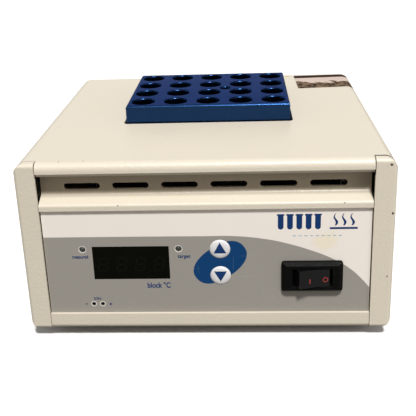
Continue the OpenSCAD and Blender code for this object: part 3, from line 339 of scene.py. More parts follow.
def finish(name, color, rough, metal=0.0, drift_by=0.06, drift_size=25, grain_size=1.0, grain_depth=0.0,
           scratches=0.0, worn_color=None, worn_amount=0.5, worn_width=0.5, **sockets):
    """Material kept under its name; color is a tuple or a function of the tree; sizes in millimetres."""
    made = bpy.data.materials.new(name)
    made.use_nodes = True
    tree = made.node_tree
    shader = tree.nodes["Principled BSDF"]
    plain = isinstance(color, tuple)
    tint = add_group(tree, drift, Color=(*color, 1) if plain else color(tree), Size=drift_size, Amount=drift_by)
    roughness = remap(tree, noise(tree, ROUGH_FINER / (drift_size * MM), 3.0), 0.3, 0.7,
                      rough * (1 - ROUGH_SWING), min(1, rough * (1 + ROUGH_SWING)))
    if scratches:
        mask = add_group(tree, scratch, Amount=scratches)
        scuffed = [min(1, c * SCUFF_KEPT + SCUFF_ADDED) for c in color] if plain else SCUFF_PALE
        tint = blend(tree, mask, tint, (*scuffed, 1))
        roughness = maths(tree, "ADD", roughness, maths(tree, "MULTIPLY", mask, SCUFF_ROUGH))
    if worn_color:
        mask = add_group(tree, worn, Width=worn_width, Amount=worn_amount)
        tint = blend(tree, mask, tint, (*worn_color, 1))
    tree.links.new(tint, shader.inputs["Base Color"])
    tree.links.new(roughness, shader.inputs["Roughness"])
    shader.inputs["Metallic"].default_value = metal
    for socket, value in sockets.items():
        shader.inputs[socket.replace("_", " ")].default_value = value
    if grain_depth:
        bump = tree.nodes.new("ShaderNodeBump")
        bump.inputs["Distance"].default_value = grain_depth * MM
        tree.links.new(add_group(tree, grain, Size=grain_size), bump.inputs["Height"])
        tree.links.new(bump.outputs["Normal"], shader.inputs["Normal"])
    finishes[name] = made

# %% [markdown]
# ## Painted steel
# The housing is folded sheet steel with a warm beige powder coat. Powder coat flows into a low orange-peel
# texture of about a millimetre, which only shows where light grazes it: along the nose, the lip and the strips.
# The coat is thin on the folds, so a little darker primer comes through there. The front panel's coat has
# painted shade: it turns darker and browner towards the back of the vent recess, by depth behind the front.

# %% Finishes of the housing
# the second colour is painted shade for the back of the vent recess
COAT, RECESS_SHADE = (0.71, 0.648, 0.538), (0.36, 0.31, 0.235)
RECESS_SHADE_DEPTH = (5, 7.5)  # millimetres behind the front where the painted shade begins and is full
POWDER = dict(rough=0.40, drift_by=0.05, drift_size=60, grain_size=1.6, grain_depth=0.11,
              worn_color=(0.60, 0.52, 0.42), worn_amount=0.35, worn_width=0.4, Specular_IOR_Level=0.45)


def recess_shade_color(tree):
    """The coat's beige with painted shade: browner towards the back of the vent recess."""
    inward = remap(tree, object_place(tree, "Y"), *(front_y + depth * MM for depth in RECESS_SHADE_DEPTH))
    return blend(tree, inward, (*COAT, 1), (*RECESS_SHADE, 1))


finish("beige_powder_coat", COAT, **POWDER)
# the front panel's coat, with painted shade in its vent recess
finish("coat_with_recess_shade", recess_shade_color, **POWDER)

# %% [markdown]
# The floor is white to the camera and darker to the light that bounces off it, as on a bench top. So it doesn't
# light the underside of the nose and the lip.

# %% Finish of the floor
def floor_color(tree):
    path = tree.nodes.new("ShaderNodeLightPath")
    return blend(tree, path.outputs["Is Camera Ray"], (0.22, 0.21, 0.20, 1), (0.97, 0.97, 0.97, 1))


finish("white_floor", floor_color, 0.8, drift_by=0.0, Specular_IOR_Level=0.1)
floor.data.materials.append(finishes["white_floor"])

# %% [markdown]
# ## Metals
# Anodised aluminium keeps its metal shine under a blue dye, so it stays fully metallic and takes its colour from
# the base. The inside shows through the vents and when the block is lifted, so its metals get their own finishes
# too: zinc plate, brass, tinned contacts, steel laminations and mill aluminium.

# %% Finishes of the metals
# the paler blue on the block's edges is worn dye and a painted highlight along its rims and chamfers
finish("anodised_blue", (0.014, 0.046, 0.135), 0.25, 1.0, drift_by=0.25, drift_size=14, grain_size=0.35,
       grain_depth=0.004, scratches=0.06, worn_color=(0.35, 0.52, 0.70), worn_amount=0.45,
       Specular_Tint=(0.45, 0.50, 0.80, 1))
finish("zinc_plate", (0.62, 0.63, 0.64), 0.38, 1.0, drift_by=0.25, drift_size=8, grain_size=2.0, grain_depth=0.01,
       scratches=0.4)
finish("screw_zinc", (0.66, 0.66, 0.68), 0.30, 1.0, drift_by=0.2, drift_size=3, scratches=0.4,
       worn_color=(0.85, 0.85, 0.86))
finish("black_screw", (0.03, 0.03, 0.03), 0.4, 0.6, worn_color=(0.35, 0.35, 0.35))
# the trimmer screws' brass is dark and matt as painted shade at the bottom of their holes
finish("brass_in_painted_shade", (0.10, 0.075, 0.04), 0.6, drift_by=0.4, drift_size=1, Specular_IOR_Level=0.1)
finish("brass", (0.72, 0.53, 0.22), 0.28, 1.0, drift_by=0.25, drift_size=2, scratches=0.3)
finish("tinned_contact", (0.68, 0.65, 0.56), 0.3, 1.0, drift_by=0.2, drift_size=2, scratches=0.3)
finish("lamination_steel", (0.17, 0.17, 0.18), 0.45, 0.8, drift_by=0.4, drift_size=2, scratches=0.5)
finish("mill_aluminium", (0.70, 0.71, 0.72), 0.33, 1.0, drift_by=0.15, drift_size=6, scratches=0.5)
finish("bare_steel_chip", (0.09, 0.08, 0.075), 0.55, 0.3, drift_by=0.5, drift_size=0.5)

# %% [markdown]
# ## Plastics and the inside
# The mouldings of the switch are near black: the rocker is polished, its bezel is satin. The display's window is
# smoked, and behind it the unlit segments are a shade lighter. Boards, tape, wool and leads lie inside.

# %% Finishes of the mouldings
finish("foot_rubber", (0.022, 0.022, 0.024), 0.82, grain_size=0.6, grain_depth=0.03, drift_by=0.4)
finish("matt_black", (0.02, 0.02, 0.022), 0.6, grain_size=0.5, grain_depth=0.01, drift_by=0.3)
finish("bezel_black", (0.004, 0.004, 0.004), 0.48, Specular_IOR_Level=0.06, grain_size=0.45, grain_depth=0.012,
       drift_by=0.5, drift_size=4, scratches=0.05, worn_color=(0.05, 0.05, 0.05), worn_amount=0.15)
finish("rocker_black", (0.005, 0.005, 0.006), 0.16, Specular_IOR_Level=0.3, drift_by=0.5, drift_size=3,
       scratches=0.08, grain_size=2.0, grain_depth=0.008, Coat_Weight=0.3, Coat_Roughness=0.12)
finish("smoked_window", (0.0026, 0.0031, 0.0015), 0.12, drift_by=0.5, drift_size=6, Specular_IOR_Level=0.06,
       scratches=0.02)
finish("ghost_segment", (0.0062, 0.0068, 0.0038), 0.12, drift_by=0.3, drift_size=1, Specular_IOR_Level=0.06)
finish("lamp_lens", (0.050, 0.055, 0.050), 0.35, drift_by=0.6, drift_size=0.8, Specular_IOR_Level=0.25,
       grain_size=0.4, grain_depth=0.02)
finish("key_cap", (0.76, 0.76, 0.78), 0.40, drift_size=4, grain_size=0.5, grain_depth=0.006,
       worn_color=(0.62, 0.58, 0.52), worn_amount=0.3)
finish("trimmer_blue", (0.03, 0.10, 0.40), 0.4, drift_by=0.2, drift_size=2, grain_size=0.4, grain_depth=0.01)
finish("ivory_plastic", (0.74, 0.70, 0.58), 0.5, drift_by=0.1, grain_size=0.5, grain_depth=0.01)
finish("terminal_green", (0.03, 0.30, 0.11), 0.45, drift_by=0.2, grain_size=0.5, grain_depth=0.01)

# %% [markdown]
# The earth lead is green with a yellow stripe, and the flat cable's conductors show as fine lines along it. Both
# patterns are noise stretched along the lead.

# %% Finishes of boards, tape, wool and leads
def striped_lead(tree):
    stripe = remap(tree, noise(tree, 90.0, 0.0, (1, 1, 0.2)), 0.56, 0.58)
    return blend(tree, stripe, (0.03, 0.22, 0.05, 1), (0.60, 0.55, 0.05, 1))


def ribbed_cable(tree):
    ribs = remap(tree, noise(tree, 800.0, 0.0, (1, 0.02, 0.02)), 0.45, 0.55)
    return blend(tree, ribs, (0.30, 0.30, 0.31, 1), (0.42, 0.42, 0.43, 1))


finish("circuit_board", (0.02, 0.16, 0.06), 0.35, drift_by=0.5, drift_size=5, grain_size=1.2, grain_depth=0.02,
       Coat_Weight=0.4)
finish("fuse_glass", (0.78, 0.82, 0.83), 0.12, drift_by=0.1, drift_size=2, Coat_Weight=0.5)
finish("coil_tape", (0.72, 0.47, 0.10), 0.35, drift_by=0.2, drift_size=4, grain_size=3, grain_depth=0.1)
finish("silicone_mat", (0.55, 0.13, 0.04), 0.6, drift_by=0.2, grain_size=0.8, grain_depth=0.03)
finish("mineral_wool", (0.060, 0.056, 0.050), 0.95, drift_by=0.4, drift_size=3, grain_size=1.6, grain_depth=0.5)
finish("lead_black", (0.012, 0.012, 0.012), 0.4, drift_by=0.3, grain_size=0.8, grain_depth=0.01)
finish("lead_green", striped_lead, 0.42, drift_by=0.2, grain_size=0.8, grain_depth=0.01)
finish("ribbon_grey", ribbed_cable, 0.5, drift_by=0.1)
print(len(finishes), "finishes so far")

# %% [markdown]
# ## Softened edges
# The solids have true sharp edges; a punched sheet or a moulded bezel never has. The solids may not be changed,
# so a copy of a solid is welded, its flat triangles are dissolved into whole faces, and its sharp edges get a
# small rounded bevel. The copy then stands for the solid. Weighted normals keep the large faces flat. The copy is
# also the place for a late measurement: under the nose the photograph shows 2 mm more of the recess than the
# solids do, so the nose's lower rim and the recess's ceiling are lifted by that much before the bevel.

# %% Soften a solid's edges
NOSE_LIFT = 2.0
WELD_M, FLAT_RAD = 1e-6, 0.01


def soften(node, width, finish_name="beige_powder_coat", segments=2, angle=30, lifted=None):
    """Copy of a solid with its sharp edges rounded by width, in millimetres, which stands for that solid."""
    bm = bmesh.new()
    bm.from_mesh(nodes[node].data)
    bmesh.ops.remove_doubles(bm, verts=bm.verts, dist=WELD_M)
    for corner in bm.verts:
        if lifted and lifted(*(corner.co / MM)):
            corner.co.z += NOSE_LIFT * MM
    bmesh.ops.dissolve_limit(bm, angle_limit=FLAT_RAD, verts=bm.verts, edges=bm.edges)
    sharp = [e for e in bm.edges if len(e.link_faces) == 2 and e.calc_face_angle() > math.radians(angle)]
    bmesh.ops.bevel(bm, geom=sharp, offset=width * MM, offset_type="OFFSET", segments=segments, profile=0.5,
                    affect="EDGES", clamp_overlap=True)
    piece = mesh_object(node + "_soft", bm, smooth=True)
    weighted = piece.modifiers.new("weighted", "WEIGHTED_NORMAL")
    weighted.keep_sharp = True
    piece.data.materials.append(finishes[finish_name])
    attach(piece, nodes[node]["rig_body"])
    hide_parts(node)
    print(piece.name, len(piece.data.polygons), "faces")
    return piece

# %% [markdown]
# ## Housing
# The cover and the panels carry the powder coat. Their punched openings and folded lips are rounded by a quarter
# of a millimetre, which is what catches the light along the lip and the vent slots in the photograph.

# %% Housing pieces
NOSE_HALF, NOSE_DEEP, RIM_HIGH = 84.9, 2, 1  # the nose's lower rim, between the front strips
CEILING_DEEP = 3  # the ceiling's sheet and its bend
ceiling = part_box("front_panel")[1].z / MM


def nose_rim(x, y, z):
    return abs(x) < NOSE_HALF and y < front_y / MM + NOSE_DEEP and ceiling < z < ceiling + RIM_HIGH


def recess_ceiling(x, y, z):
    return z > ceiling - CEILING_DEEP


soften("cover", 0.25, lifted=nose_rim)
# the front panel takes the coat with painted shade at the back of its vent recess
soften("front_panel", 0.25, "coat_with_recess_shade", lifted=recess_ceiling)
rear_panel = soften("rear_panel", 0.2)

# %% [markdown]
# ## Label
# The printed film is one material on the label's solid. A group turns the place on the panel into masks: grey
# under a long curve, a blue tilted oval behind the keys, and pale rings round the lamps and the trimmer holes.
# The curve is a Float Curve from x to z, with the points measured on the panel.

# %% Grey field under the curve
HORIZON = [(-84.2, 53.9), (-1.6, 53.75), (15.2, 53.6), (31.7, 51.6), (44.8, 48.3), (54.6, 44.9), (61.2, 42.2),
           (67.7, 38.8), (74.2, 34.4), (80.7, 28.0), (84.2, 23.6)]
FILM_HALF, GRAPH_HIGH = HORIZON[-1][0], 60.0  # what the Float Curve's unit square stands for
zones, _, end = new_group("label_zones", [], [("Grey", FLOAT), ("Blue", FLOAT), ("Pale", FLOAT)])
panel_x = maths(zones, "MULTIPLY", object_place(zones, "X"), 1 / MM)
panel_z = maths(zones, "MULTIPLY", maths(zones, "SUBTRACT", object_place(zones, "Z"), floor_of_case), 1 / MM)


def soft_step(value, blur=0.06):
    """1 where value is above zero, over an edge as soft as a printed one."""
    return remap(zones, value, -blur, blur)


curve = zones.nodes.new("ShaderNodeFloatCurve")
points = curve.mapping.curves[0].points
while len(points) > 2:
    points.remove(points[0])
for i, (x, z) in enumerate(HORIZON):
    at = ((x + FILM_HALF) / (2 * FILM_HALF), z / GRAPH_HIGH)
    if i < 2:
        points[i].location = at
    else:
        points.new(*at)
curve.mapping.update()
zones.links.new(remap(zones, panel_x, -FILM_HALF, FILM_HALF), curve.inputs["Value"])
height = maths(zones, "MULTIPLY", curve.outputs["Value"], GRAPH_HIGH)
zones.links.new(soft_step(maths(zones, "SUBTRACT", height, panel_z)), end.inputs["Grey"])
print("curve has", len(points), "points")

# %% [markdown]
# The oval is fuller than an ellipse: the powers of its two shares add up to one, with a power a little above 2.
# Each ring is the distance from its lamp or trimmer, whose place is read from the solid.

# %% Blue oval and pale rings
OVAL_AT, OVAL_HALF, OVAL_TILT = (7.2, 38.5), (15.5, 9.2), math.radians(37)
OVAL_POWER, OVAL_BLUR = 2.3, 0.015
RING_RADII = {"led_left": 2.05, "led_right": 2.05, "trim_screw_left": 1.6, "trim_screw_right": 1.6}


def from_point(x, z):
    """The place's offsets from a point of the panel, in millimetres."""
    return maths(zones, "SUBTRACT", panel_x, x), maths(zones, "SUBTRACT", panel_z, z)


def share(offset, half):
    """How much of the oval's sum an offset along one of its axes takes up."""
    return maths(zones, "POWER", maths(zones, "ABSOLUTE", maths(zones, "DIVIDE", offset, half)), OVAL_POWER)


dx, dz = from_point(*OVAL_AT)
cos, sin = math.cos(OVAL_TILT), math.sin(OVAL_TILT)
along = maths(zones, "ADD", maths(zones, "MULTIPLY", dx, cos), maths(zones, "MULTIPLY", dz, sin))
across = maths(zones, "SUBTRACT", maths(zones, "MULTIPLY", dz, cos), maths(zones, "MULTIPLY", dx, sin))
oval = maths(zones, "ADD", share(along, OVAL_HALF[0]), share(across, OVAL_HALF[1]))
zones.links.new(soft_step(maths(zones, "SUBTRACT", 1.0, oval), OVAL_BLUR), end.inputs["Blue"])

centres = {}
pale = 0.0
for name, radius in RING_RADII.items():
    low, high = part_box(name)
    middle = (low + high) / 2
    centres[name] = (middle.x / MM, (middle.z - floor_of_case) / MM)
    spot = soft_step(maths(zones, "SUBTRACT", radius, length(zones, *from_point(*centres[name]))))
    pale = maths(zones, "MAXIMUM", pale, spot)
zones.links.new(pale, end.inputs["Pale"])
print("rings at", {name: [round(v, 2) for v in centre] for name, centre in centres.items()})

# %% [markdown]
# The masks choose the ink. The white ground has one faint yellow stain above the switch, a ragged patch whose
# field is negative inside.

# %% The printed film
STAIN_AT, STAIN_WIDE, STAIN_HIGH = (61.5, 50.5), 7.5, 7.5 * 0.75
STAIN_FRAY, STAIN_EDGE, STAIN_DEPTH = 1.2, 1.5, 0.5


def stain_field(tree):
    """Distance from the stain's middle in shares of its size, frayed by noise: about zero at its rim."""
    x, z = STAIN_AT
    dx = maths(tree, "SUBTRACT", object_place(tree, "X"), x * MM)
    dz = maths(tree, "SUBTRACT", object_place(tree, "Z"), floor_of_case + z * MM)
    reach = length(tree, maths(tree, "DIVIDE", dx, STAIN_WIDE * MM), maths(tree, "DIVIDE", dz, STAIN_HIGH * MM))
    fray = maths(tree, "MULTIPLY", noise(tree, 180.0, 2.0), STAIN_FRAY)
    return maths(tree, "SUBTRACT", maths(tree, "ADD", reach, fray), STAIN_EDGE)


def label_color(tree):
    masks = tree.nodes.new("ShaderNodeGroup")
    masks.node_tree = zones
    stain = maths(tree, "MULTIPLY", remap(tree, stain_field(tree), 0.1, -0.3), STAIN_DEPTH)
    white = blend(tree, stain, (0.90, 0.84, 0.785, 1), (0.88, 0.79, 0.53, 1))
    ground = blend(tree, masks.outputs["Grey"], white, (0.335, 0.315, 0.285, 1))
    print_on = blend(tree, masks.outputs["Blue"], ground, (0.004, 0.050, 0.165, 1))
    return blend(tree, masks.outputs["Pale"], print_on, (0.74, 0.71, 0.66, 1))


finish("printed_film", label_color, 0.36, drift_by=0.05, drift_size=40, grain_size=0.6, grain_depth=0.004,
       scratches=0.06, Specular_IOR_Level=0.15)
finish("ink_blue", (0.006, 0.038, 0.150), 0.45, drift_by=0.2, drift_size=2, Specular_IOR_Level=0.2)
finish("ink_pale_blue", (0.42, 0.52, 0.60), 0.45, drift_by=0.1, drift_size=2)
finish("ink_red", (0.30, 0.035, 0.035), 0.45, drift_by=0.3, drift_size=1)
print("stain about", STAIN_AT, "on the panel, in mm")

# %% [markdown]
# ## Dress the remaining solids
# Solids whose shape is already right keep their mesh and only change material. One table pairs them.

# %% Materials on the solids
DRESS = {
    "printed_film": ["label"],
    "zinc_plate": ["base_pan", "well_pan", "well_brackets"],
    "screw_zinc": ["bottom_screws", "rear_screws", "foot_screws", "board_screws", "transformer_screws",
                   "power_screws", "bracket_screws", "temperature_probe"],
    "black_screw": ["inlet_screws"],
    "matt_black": ["display_module", "key_switches", "controller_chip", "triac"],
    "lamp_lens": ["led_left", "led_right"],
    "key_cap": ["key_up", "key_down"],
    "circuit_board": ["control_board", "power_board"],
    "brass": ["board_standoffs", "power_standoffs", "earth_stud"],
    # the trimmer screws' darkened brass is painted shade
    "brass_in_painted_shade": ["trim_screw_left", "trim_screw_right"],
    "trimmer_blue": ["trimmer_left", "trimmer_right"],
    "ivory_plastic": ["ribbon_socket"],
    "tinned_contact": ["switch_terminals", "inlet_pins"],
    "fuse_glass": ["fuses"],
    "lamination_steel": ["transformer_core"],
    "coil_tape": ["transformer_coil"],
    "mill_aluminium": ["heat_sink", "heater_plate", "thermal_cutout"],
    "terminal_green": ["terminal_block"],
    "silicone_mat": ["heater_mat"],
    "mineral_wool": ["insulation"],
    "lead_black": ["mains_leads"],
    "lead_green": ["earth_lead"],
    "ribbon_grey": ["ribbon_cable"],
}
for name, members in DRESS.items():
    for node in members:
        nodes[node].data.materials.clear()
        nodes[node].data.materials.append(finishes[name])
print(sum(len(members) for members in DRESS.values()), "solids dressed")

# %% [markdown]
# ## Tube block, switch, inlet, feet and window
# The block is milled bar with a light deburr, so its edges and well rims glint. The switch, the inlet and the
# fuse drawer are mouldings with larger rounds.

# %% Softened mouldings and block
soften("tube_block", 0.2, "anodised_blue", angle=40)
soften("switch_housing", 0.45, "bezel_black", 3)
soften("switch_rocker", 0.5, "rocker_black", 3)
soften("inlet_housing", 0.5, "matt_black", 3)
soften("fuse_drawer", 0.4, "matt_black", 3)
soften("feet", 0.6, "foot_rubber", 3)
soften("display_window", 0.2, "smoked_window")

# %% [markdown]
# ## Print
# Captions and signs are thin raised ink: text and outlines are filled, given a few hundredths of a millimetre
# of thickness and laid on the film. A piece is built from rows of points that are joined by faces.

# %% Helpers for flat pieces
INK = 0.03  # millimetres that the ink stands proud


def join_rows(bm, a, b, closed=True):
    """Faces between two rows of vertices."""
    count = len(a)
    for i in range(count if closed else count - 1):
        j = (i + 1) % count
        bm.faces.new((a[i], a[j], b[j], b[i]))


def place_piece(name, bm, finish_name, body):
    """Object from a bmesh, with its finish, that rides on a body."""
    piece = mesh_object(name, bm)
    piece.data.materials.append(finishes[finish_name])
    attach(piece, body)


def flat_piece(name, outlines, finish_name, body, to_world, thick=INK):
    """Thin solid piece from closed outlines in millimetres; to_world places (x, z, depth)."""
    bm = bmesh.new()
    for outline in outlines:
        front = [bm.verts.new(to_world(x, z, thick)) for x, z in outline]
        back = [bm.verts.new(to_world(x, z, -thick)) for x, z in outline]
        bm.faces.new(front)
        bm.faces.new(back[::-1])
        join_rows(bm, front, back)
    place_piece(name, bm, finish_name, body)


def hoop(name, x, z, outer, inner, near, far, finish_name, body, to_world, steps=40):
    """Flat ring about (x, z) between the radii outer and inner and the depths near and far."""
    bm = bmesh.new()
    turns = [2 * math.pi * i / steps for i in range(steps)]
    rings = [[bm.verts.new(to_world(x + radius * math.cos(t), z + radius * math.sin(t), depth)) for t in turns]
             for radius, depth in ((outer, near), (inner, near), (inner, far), (outer, far))]
    for a, b in zip(rings, rings[1:] + rings[:1]):
        join_rows(bm, a, b)
    place_piece(name, bm, finish_name, body)

# %% [markdown]
# Plain general words name the two lamps, the unit and the trimmers, which have a minus and a plus. The letters
# are a little bolder than the font's own, so that they read as printed ink at this size, and each word is
# squeezed to the width of a caption on the panel.

# %% Captions on the film
FONT_CAPS = 0.7  # capital height as a share of the font's size
# name, text, x, z, capital height, bold, width; all in millimetres
CAPTIONS = [
    ("caption_measured", "measured", -66.0, 42.55, 2.0, 0.07, 8.4),
    ("caption_target", "target", -11.4, 42.45, 2.0, 0.07, 6.6),
    ("caption_unit", "block °C", -25.4, 25.5, 3.1, 0.11, 12.2),
    ("caption_adjust", "trim", -58.9, 17.8, 1.9, 0.06, 4.0),
    ("caption_minus", "-", -65.0, 14.7, 2.2, 0.14, None),
    ("caption_plus", "+", -52.0, 14.2, 2.2, 0.10, None),
]


def words(name, text, x, z, height, bold, width):
    """Text centred on (x, z) of the panel, in blue ink."""
    data = bpy.data.curves.new(name, "FONT")
    data.body = text
    data.size = height * MM / FONT_CAPS
    data.align_x = "CENTER"
    data.extrude = INK * MM
    data.offset = bold * MM
    holder = link(bpy.data.objects.new(name + "_text", data))
    bpy.context.view_layer.update()
    mesh = bpy.data.meshes.new_from_object(holder.evaluated_get(bpy.context.evaluated_depsgraph_get()))
    bpy.data.objects.remove(holder)
    left, right = (side(v.co.x for v in mesh.vertices) for side in (min, max))
    squeeze = width * MM / (right - left) if width else 1.0
    centre = on_panel(x, z - height / 2)
    for v in mesh.vertices:
        shift = (v.co.x - (left + right) / 2) * squeeze
        v.co = Vector((centre.x + shift, centre.y - v.co.z, centre.z + v.co.y))
    mesh.materials.clear()
    mesh.materials.append(finishes["ink_blue"])
    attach(link(bpy.data.objects.new(name, mesh)), "housing")


for caption in CAPTIONS:
    words(*caption)
print(len(CAPTIONS), "captions")

# %% [markdown]
# The upper right corner of the film holds a plain sign of what the instrument does: a row of tubes, and three
# rising waves over a bar. A pale dashed rule runs below it.

# %% Outlines of the sign
def bar(x, z, wide, high):
    """Outline of a bar centred on (x, z)."""
    return [(x + sx * wide / 2, z + sz * high / 2) for sx, sz in ((-1, -1), (1, -1), (1, 1), (-1, 1))]


def wave(x, z, tall=6.6, swing=0.7, wide=1.3, steps=14):
    """Outline of one rising wave, thin at both ends and full in the middle; it starts a little thicker."""
    left, right = [], []
    for i in range(steps + 1):
        t = i / steps
        middle = x + swing * math.sin(2 * math.pi * t)
        half = wide / 2 * (0.35 + 0.65 * math.sin(math.pi * min(1, t * 1.1 + 0.12)))
        left.append((middle - half, z + tall * t))
        right.append((middle + half, z + tall * t))
    return left + right[::-1]


def tube(x, z, wide=2.9, tall=8.6, rim_out=0.45, rim_high=0.9, steps=10):
    """Outline of a tube with a rim above and a round end below."""
    half, top = wide / 2, z + tall
    turns = [math.pi * (1 + i / steps) for i in range(steps + 1)]
    bowl = [(x + half * math.cos(t), z + half + half * math.sin(t)) for t in turns]
    rim = bar(x, top - rim_high / 2, wide + 2 * rim_out, rim_high)
    return bowl + [(x + half, top - rim_high), *rim[1:], rim[0], (x - half, top - rim_high)]


# %% [markdown]
# The outlines of one piece lie side by side and don't touch: five tubes, then the waves over their bar. The rule
# is nine short dashes.

# %% Tube and heat sign
TUBES_X, WAVES_X = (38.6, 43.3, 48.0, 52.7, 57.4), (66.2, 70.4, 74.6)
DASHES, DASH_PITCH = 9, 2.9
outlines = [tube(x, 57.0) for x in TUBES_X] + [wave(x, 59.0) for x in WAVES_X]
outlines.append(bar(WAVES_X[1], 57.5, 14.0, 1.1))
flat_piece("tube_and_heat_sign", outlines, "ink_blue", "housing", on_panel)
rule = [bar(45.6 + i * DASH_PITCH, 53.4, 1.7, 0.55) for i in range(DASHES)]
flat_piece("pale_rule", rule, "ink_pale_blue", "housing", on_panel)
print("sign of", len(outlines), "outlines and a rule of", len(rule), "dashes")

# %% [markdown]
# ## Keys
# The arrows lie on domed caps. Their outlines are cut into small cells and each point is dropped onto the dome,
# so the print follows the cap and moves with it when the key is pressed.

# %% Arrows on the domed keys
DOME = [(0, 0), (0.6, 0.12), (0.84, 0.4), (1, 1.0)]  # share of the dome's radius, sag in millimetres
DOME_FLANGE = 1  # millimetres of the key's radius outside the dome


def dome_sag(r, radius):
    """How far the cap falls back at distance r from its middle, in millimetres."""
    out = min(1, r / radius)
    for (r0, s0), (r1, s1) in zip(DOME, DOME[1:]):
        if out <= r1:
            return s0 + (s1 - s0) * (out - r0) / (r1 - r0)


def arrow(name, key, body, corners):
    """Arrowhead with its corners in millimetres about the key's middle."""
    low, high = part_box(key)
    centre = (low + high) / 2
    radius = (high.x - low.x) / 2 / MM - DOME_FLANGE
    bm = bmesh.new()
    bm.faces.new([bm.verts.new((x, 0, z)) for x, z in corners])
    bmesh.ops.subdivide_edges(bm, edges=bm.edges, cuts=11, use_grid_fill=True)
    bmesh.ops.triangulate(bm, faces=bm.faces)
    for v in bm.verts:
        x, z = v.co.x, v.co.z
        sag = dome_sag(math.hypot(x, z), radius)
        v.co = Vector((centre.x + x * MM, low.y + (sag - INK) * MM, centre.z + z * MM))
    shell = bmesh.ops.extrude_face_region(bm, geom=list(bm.faces))
    for v in shell["geom"]:
        if isinstance(v, bmesh.types.BMVert):
            v.co.y += 2 * INK * MM
    place_piece(name, bm, "ink_blue", body)


arrow("arrow_up", "key_up", "up_key", [(-3.35, -2.05), (3.35, -2.05), (0, 4.1)])
arrow("arrow_down", "key_down", "down_key", [(3.35, 2.75), (-3.35, 2.75), (0, -3.1)])
print("arrows on domes that fall back", DOME[-1][1], "mm at the rim")

# %% [markdown]
# ## Rocker signs
# The off side of the rocker is pressed in, so its signs are laid in the rocker's own tilted plane: a bar on the
# raised half, a ring on the pressed half. The face between them is slightly hollow.

# %% Signs on the rocker
FACE, HOLLOW, FACE_HALF = 6.2, 0.5, 7.7  # face before the pivot, how hollow it is, and half its length
joint = next(j for j in frame["joints"] if j["name"] == "rocker_tip")
pivot = Vector(joint["pos_m"])
lean = math.radians(max(joint["range_deg"])) / 2


def on_rocker(x, z, depth):
    """Point on the rocker's face: x along it from the pivot, before its tilt, in millimetres."""
    hollow = HOLLOW * (1 - min(1, abs(x) / FACE_HALF))
    local = Vector((x * MM, -(FACE - hollow + depth) * MM, z * MM))
    return pivot + Matrix.Rotation(lean, 3, "Z") @ local


flat_piece("sign_on", [bar(-2.6, -1.2, 0.62, 2.6)], "ink_red", "rocker", on_rocker)
hoop("sign_off", 5.6, -0.9, 1.45, 0.95, INK, -INK, "ink_red", "rocker", on_rocker)
print("rocker leans", round(math.degrees(lean), 1), "degrees")

# %% [markdown]
# ## Display
# The display is off. Behind its smoked window the unlit segments of four slanted digits can just be made out.

# %% Ghost digits
DIGITS, DIGIT_PITCH, DIGIT_DROP, DIGIT_THICK = 4, 9.8, 0.8, 0.01
window_low, window_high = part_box("display_window")
window_mid = (window_low + window_high) / 2


def digit(x, z, tall=7.3, wide=4.6, line=0.62, slant=0.17, gap=0.2):
    """Outlines of the seven segments of one digit about (x, z)."""
    half = tall / 2
    shapes = [bar(0, level, wide - 2 * line, line) for level in (half, 0, -half)]
    shapes += [bar(sx * wide / 2, sz * (half + gap) / 2, line, half - line - gap)
               for sx in (-1, 1) for sz in (1, -1)]
    return [[(x + px + slant * pz, z + pz) for px, pz in shape] for shape in shapes]


def on_window(x, z, depth):
    return Vector((x * MM, window_low.y - depth * MM, floor_of_case + z * MM))


digit_z = (window_mid.z - floor_of_case) / MM - DIGIT_DROP
segments = [shape for i in range(DIGITS)
            for shape in digit(window_mid.x / MM + (i - (DIGITS - 1) / 2) * DIGIT_PITCH, digit_z)]
flat_piece("ghost_digits", segments, "ghost_segment", "housing", on_window, DIGIT_THICK)
print(len(segments), "segments")

# %% [markdown]
# ## Painted shade and foam
# The two trimmer holes look black from the front, although light falls into them: each bore holds a thin black
# collar of painted shade, a ring about the hole's axis from just behind the film to the panel's back.

# %% Painted shade collars in the trimmer holes
COLLAR_OUTER, COLLAR_INNER, COLLAR_FRONT, COLLAR_BACK = 1.13, 0.95, 0.05, 3.0
for side in ("left", "right"):
    hoop(f"trim_shade_collar_{side}", *centres[f"trim_screw_{side}"], COLLAR_OUTER, COLLAR_INNER, -COLLAR_FRONT,
         -COLLAR_BACK, "matt_black", "housing", on_panel, 32)
print("collars reach", COLLAR_BACK, "mm behind the film's face")

# %% [markdown]
# Inside, a strip of black foam closes the seam between the rear panel and each side. Without it, daylight would
# show through the last vent slot. Its profile is a flat back with a soft, rounded face.

# %% Foam in the rear seams
FOAM_X, FOAM_HALF, FOAM_HIGH, FOAM_SUNK = 89.4, 3.2, 0.9, 0.05
FOAM_LEVELS, FOAM_STEPS = range(12, 97, 12), 8
SHEET = 1.5  # the rear panel's thickness
inner_face = max(v.co.y for v in rear_panel.data.vertices) / MM - SHEET
turns = [math.pi * i / FOAM_STEPS for i in range(FOAM_STEPS + 1)]
profile = [(FOAM_HALF * math.cos(t), -FOAM_HIGH * math.sin(t)) for t in turns]
for side, sign in (("left", -1), ("right", 1)):
    bm = bmesh.new()
    rows = [[bm.verts.new(Vector((sign * FOAM_X + u, inner_face - FOAM_SUNK + v, z)) * MM) for u, v in profile]
            for z in FOAM_LEVELS]
    for low, high in zip(rows, rows[1:]):
        join_rows(bm, low, high)
    bm.faces.new(rows[0])
    bm.faces.new(rows[-1][::-1])
    place_piece(f"seam_foam_{side}", bm, "foot_rubber", "housing")
print("inner face of the rear panel near y =", round(inner_face, 2), "mm")
